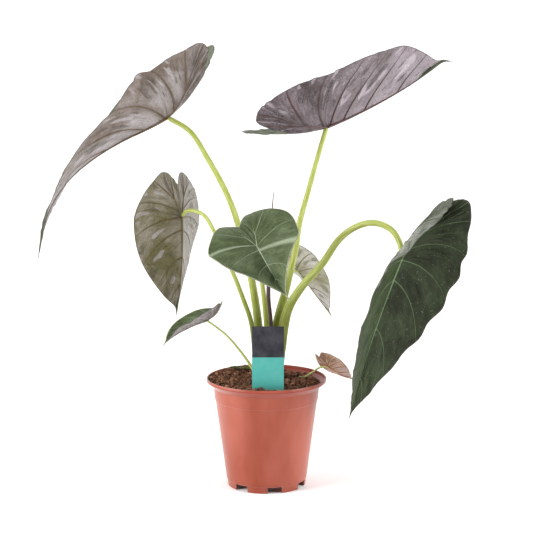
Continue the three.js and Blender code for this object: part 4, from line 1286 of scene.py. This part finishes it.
class PLANT_OT_stage(bpy.types.Operator):
    """Set the floor, the soft light and the camera"""
    bl_idname = "plant.stage"
    bl_label = "Set stage"

    def execute(self, context):
        settings = context.scene.plant_stage
        scene = context.scene
        bm = bmesh.new()
        bmesh.ops.create_circle(bm, cap_ends=True, segments=96, radius=FLOOR_RADIUS)
        mesh = bpy.data.meshes.new("floor")
        bm.to_mesh(mesh)
        bm.free()
        floor = bpy.data.objects.new("floor", mesh)
        scene.collection.objects.link(floor)
        paint = Finish("floor", Roughness=0.85, Specular_IOR_Level=0.1)
        colour = tuple(settings.floor)
        paint.base(paint.noise(paint.place(), 3, 2), colour, shade(colour, 0.99))
        mesh.materials.append(paint.finished())

        world = bpy.data.worlds.new("studio")
        world.use_nodes = True
        sky = Nodes(world.node_tree)
        parts = sky.node("SeparateXYZ", {"Vector": sky.out(sky.node("TexCoord"), "Generated")})
        dim, bright = (share * settings.softness for share in SKY_BEHIND_AND_AHEAD)
        glow = sky.band(sky.out(parts, "Y"), -0.8, 0.7, dim, bright, "LINEAR")
        horizon = sky.band(sky.out(parts, "Z"), 0.02, 0.05, 1.1, 0.0, "LINEAR")
        sky.set(sky.nodes["Background"], "Strength", sky.maths("MAXIMUM", glow, horizon))
        sky.set(sky.nodes["Background"], "Color", (1, 1, 1, 1))
        scene.world = world
        scene.view_settings.view_transform = "Standard"
        scene.view_settings.look = "None"

        for name, place, strength in SUNS:
            lamp = bpy.data.lights.new(name, "SUN")
            lamp.energy = strength
            lamp.angle = math.radians(SUN_SPREAD)
            self.hang(scene, name, lamp, place)
        for name, place, watts in STRIPS:
            lamp = bpy.data.lights.new(name, "AREA")
            lamp.shape = "RECTANGLE"
            lamp.size, lamp.size_y = STRIP_SIZE
            lamp.energy = watts
            self.hang(scene, name, lamp, place)

        lens = bpy.data.cameras.new("camera")
        lens.sensor_width = SENSOR
        lens.lens = CAMERA_LENS
        lens.clip_end = 2 * FLOOR_RADIUS
        camera = bpy.data.objects.new("camera", lens)
        camera.location = CAMERA_PLACE
        camera.rotation_euler = (math.radians(90 + CAMERA_PITCH), 0, 0)
        scene.collection.objects.link(camera)
        scene.camera = camera
        return {"FINISHED"}

    def hang(self, scene, name, lamp, place):
        """Hangs a lamp at a place, turned to the middle of the plant."""
        light = bpy.data.objects.new(name, lamp)
        light.location = place
        light.rotation_euler = (Vector(PLANT_MIDDLE) - Vector(place)).to_track_quat("-Z", "Y").to_euler()
        scene.collection.objects.link(light)


class PLANT_PT_panel(bpy.types.Panel):
    """The plant's settings and the steps that build it"""
    bl_idname = "PLANT_PT_panel"
    bl_label = "Potted alocasia"
    bl_space_type = "VIEW_3D"
    bl_region_type = "UI"
    bl_category = "Plant"

    def draw(self, context):
        for group in SETTINGS:
            box = self.layout.box()
            settings = getattr(context.scene, group)
            for name in SETTINGS[group].__annotations__:
                box.prop(settings, name)
        for operator in OPERATORS:
            self.layout.operator(operator.bl_idname)


SETTINGS = {
    "plant_pot": PotSettings,
    "plant_soil": SoilSettings,
    "plant_label": LabelSettings,
    "plant_leaves": LeafSettings,
    "plant_stage": StageSettings,
}
OPERATORS = (PLANT_OT_pot, PLANT_OT_soil, PLANT_OT_label, PLANT_OT_blades, PLANT_OT_stalks, PLANT_OT_new_leaf,
             PLANT_OT_spent_leaf, PLANT_OT_stage)


def register():
    for kind in (*SETTINGS.values(), *OPERATORS, PLANT_PT_panel):
        bpy.utils.register_class(kind)
    for name, kind in SETTINGS.items():
        setattr(bpy.types.Scene, name, PointerProperty(type=kind))


def unregister():
    for name in SETTINGS:
        delattr(bpy.types.Scene, name)
    for kind in reversed((*SETTINGS.values(), *OPERATORS, PLANT_PT_panel)):
        bpy.utils.unregister_class(kind)


def main():
    register()
    for operator in OPERATORS:
        group, name = operator.bl_idname.split(".")
        getattr(getattr(bpy.ops, group), name)()


if __name__ == "__main__":
    main()
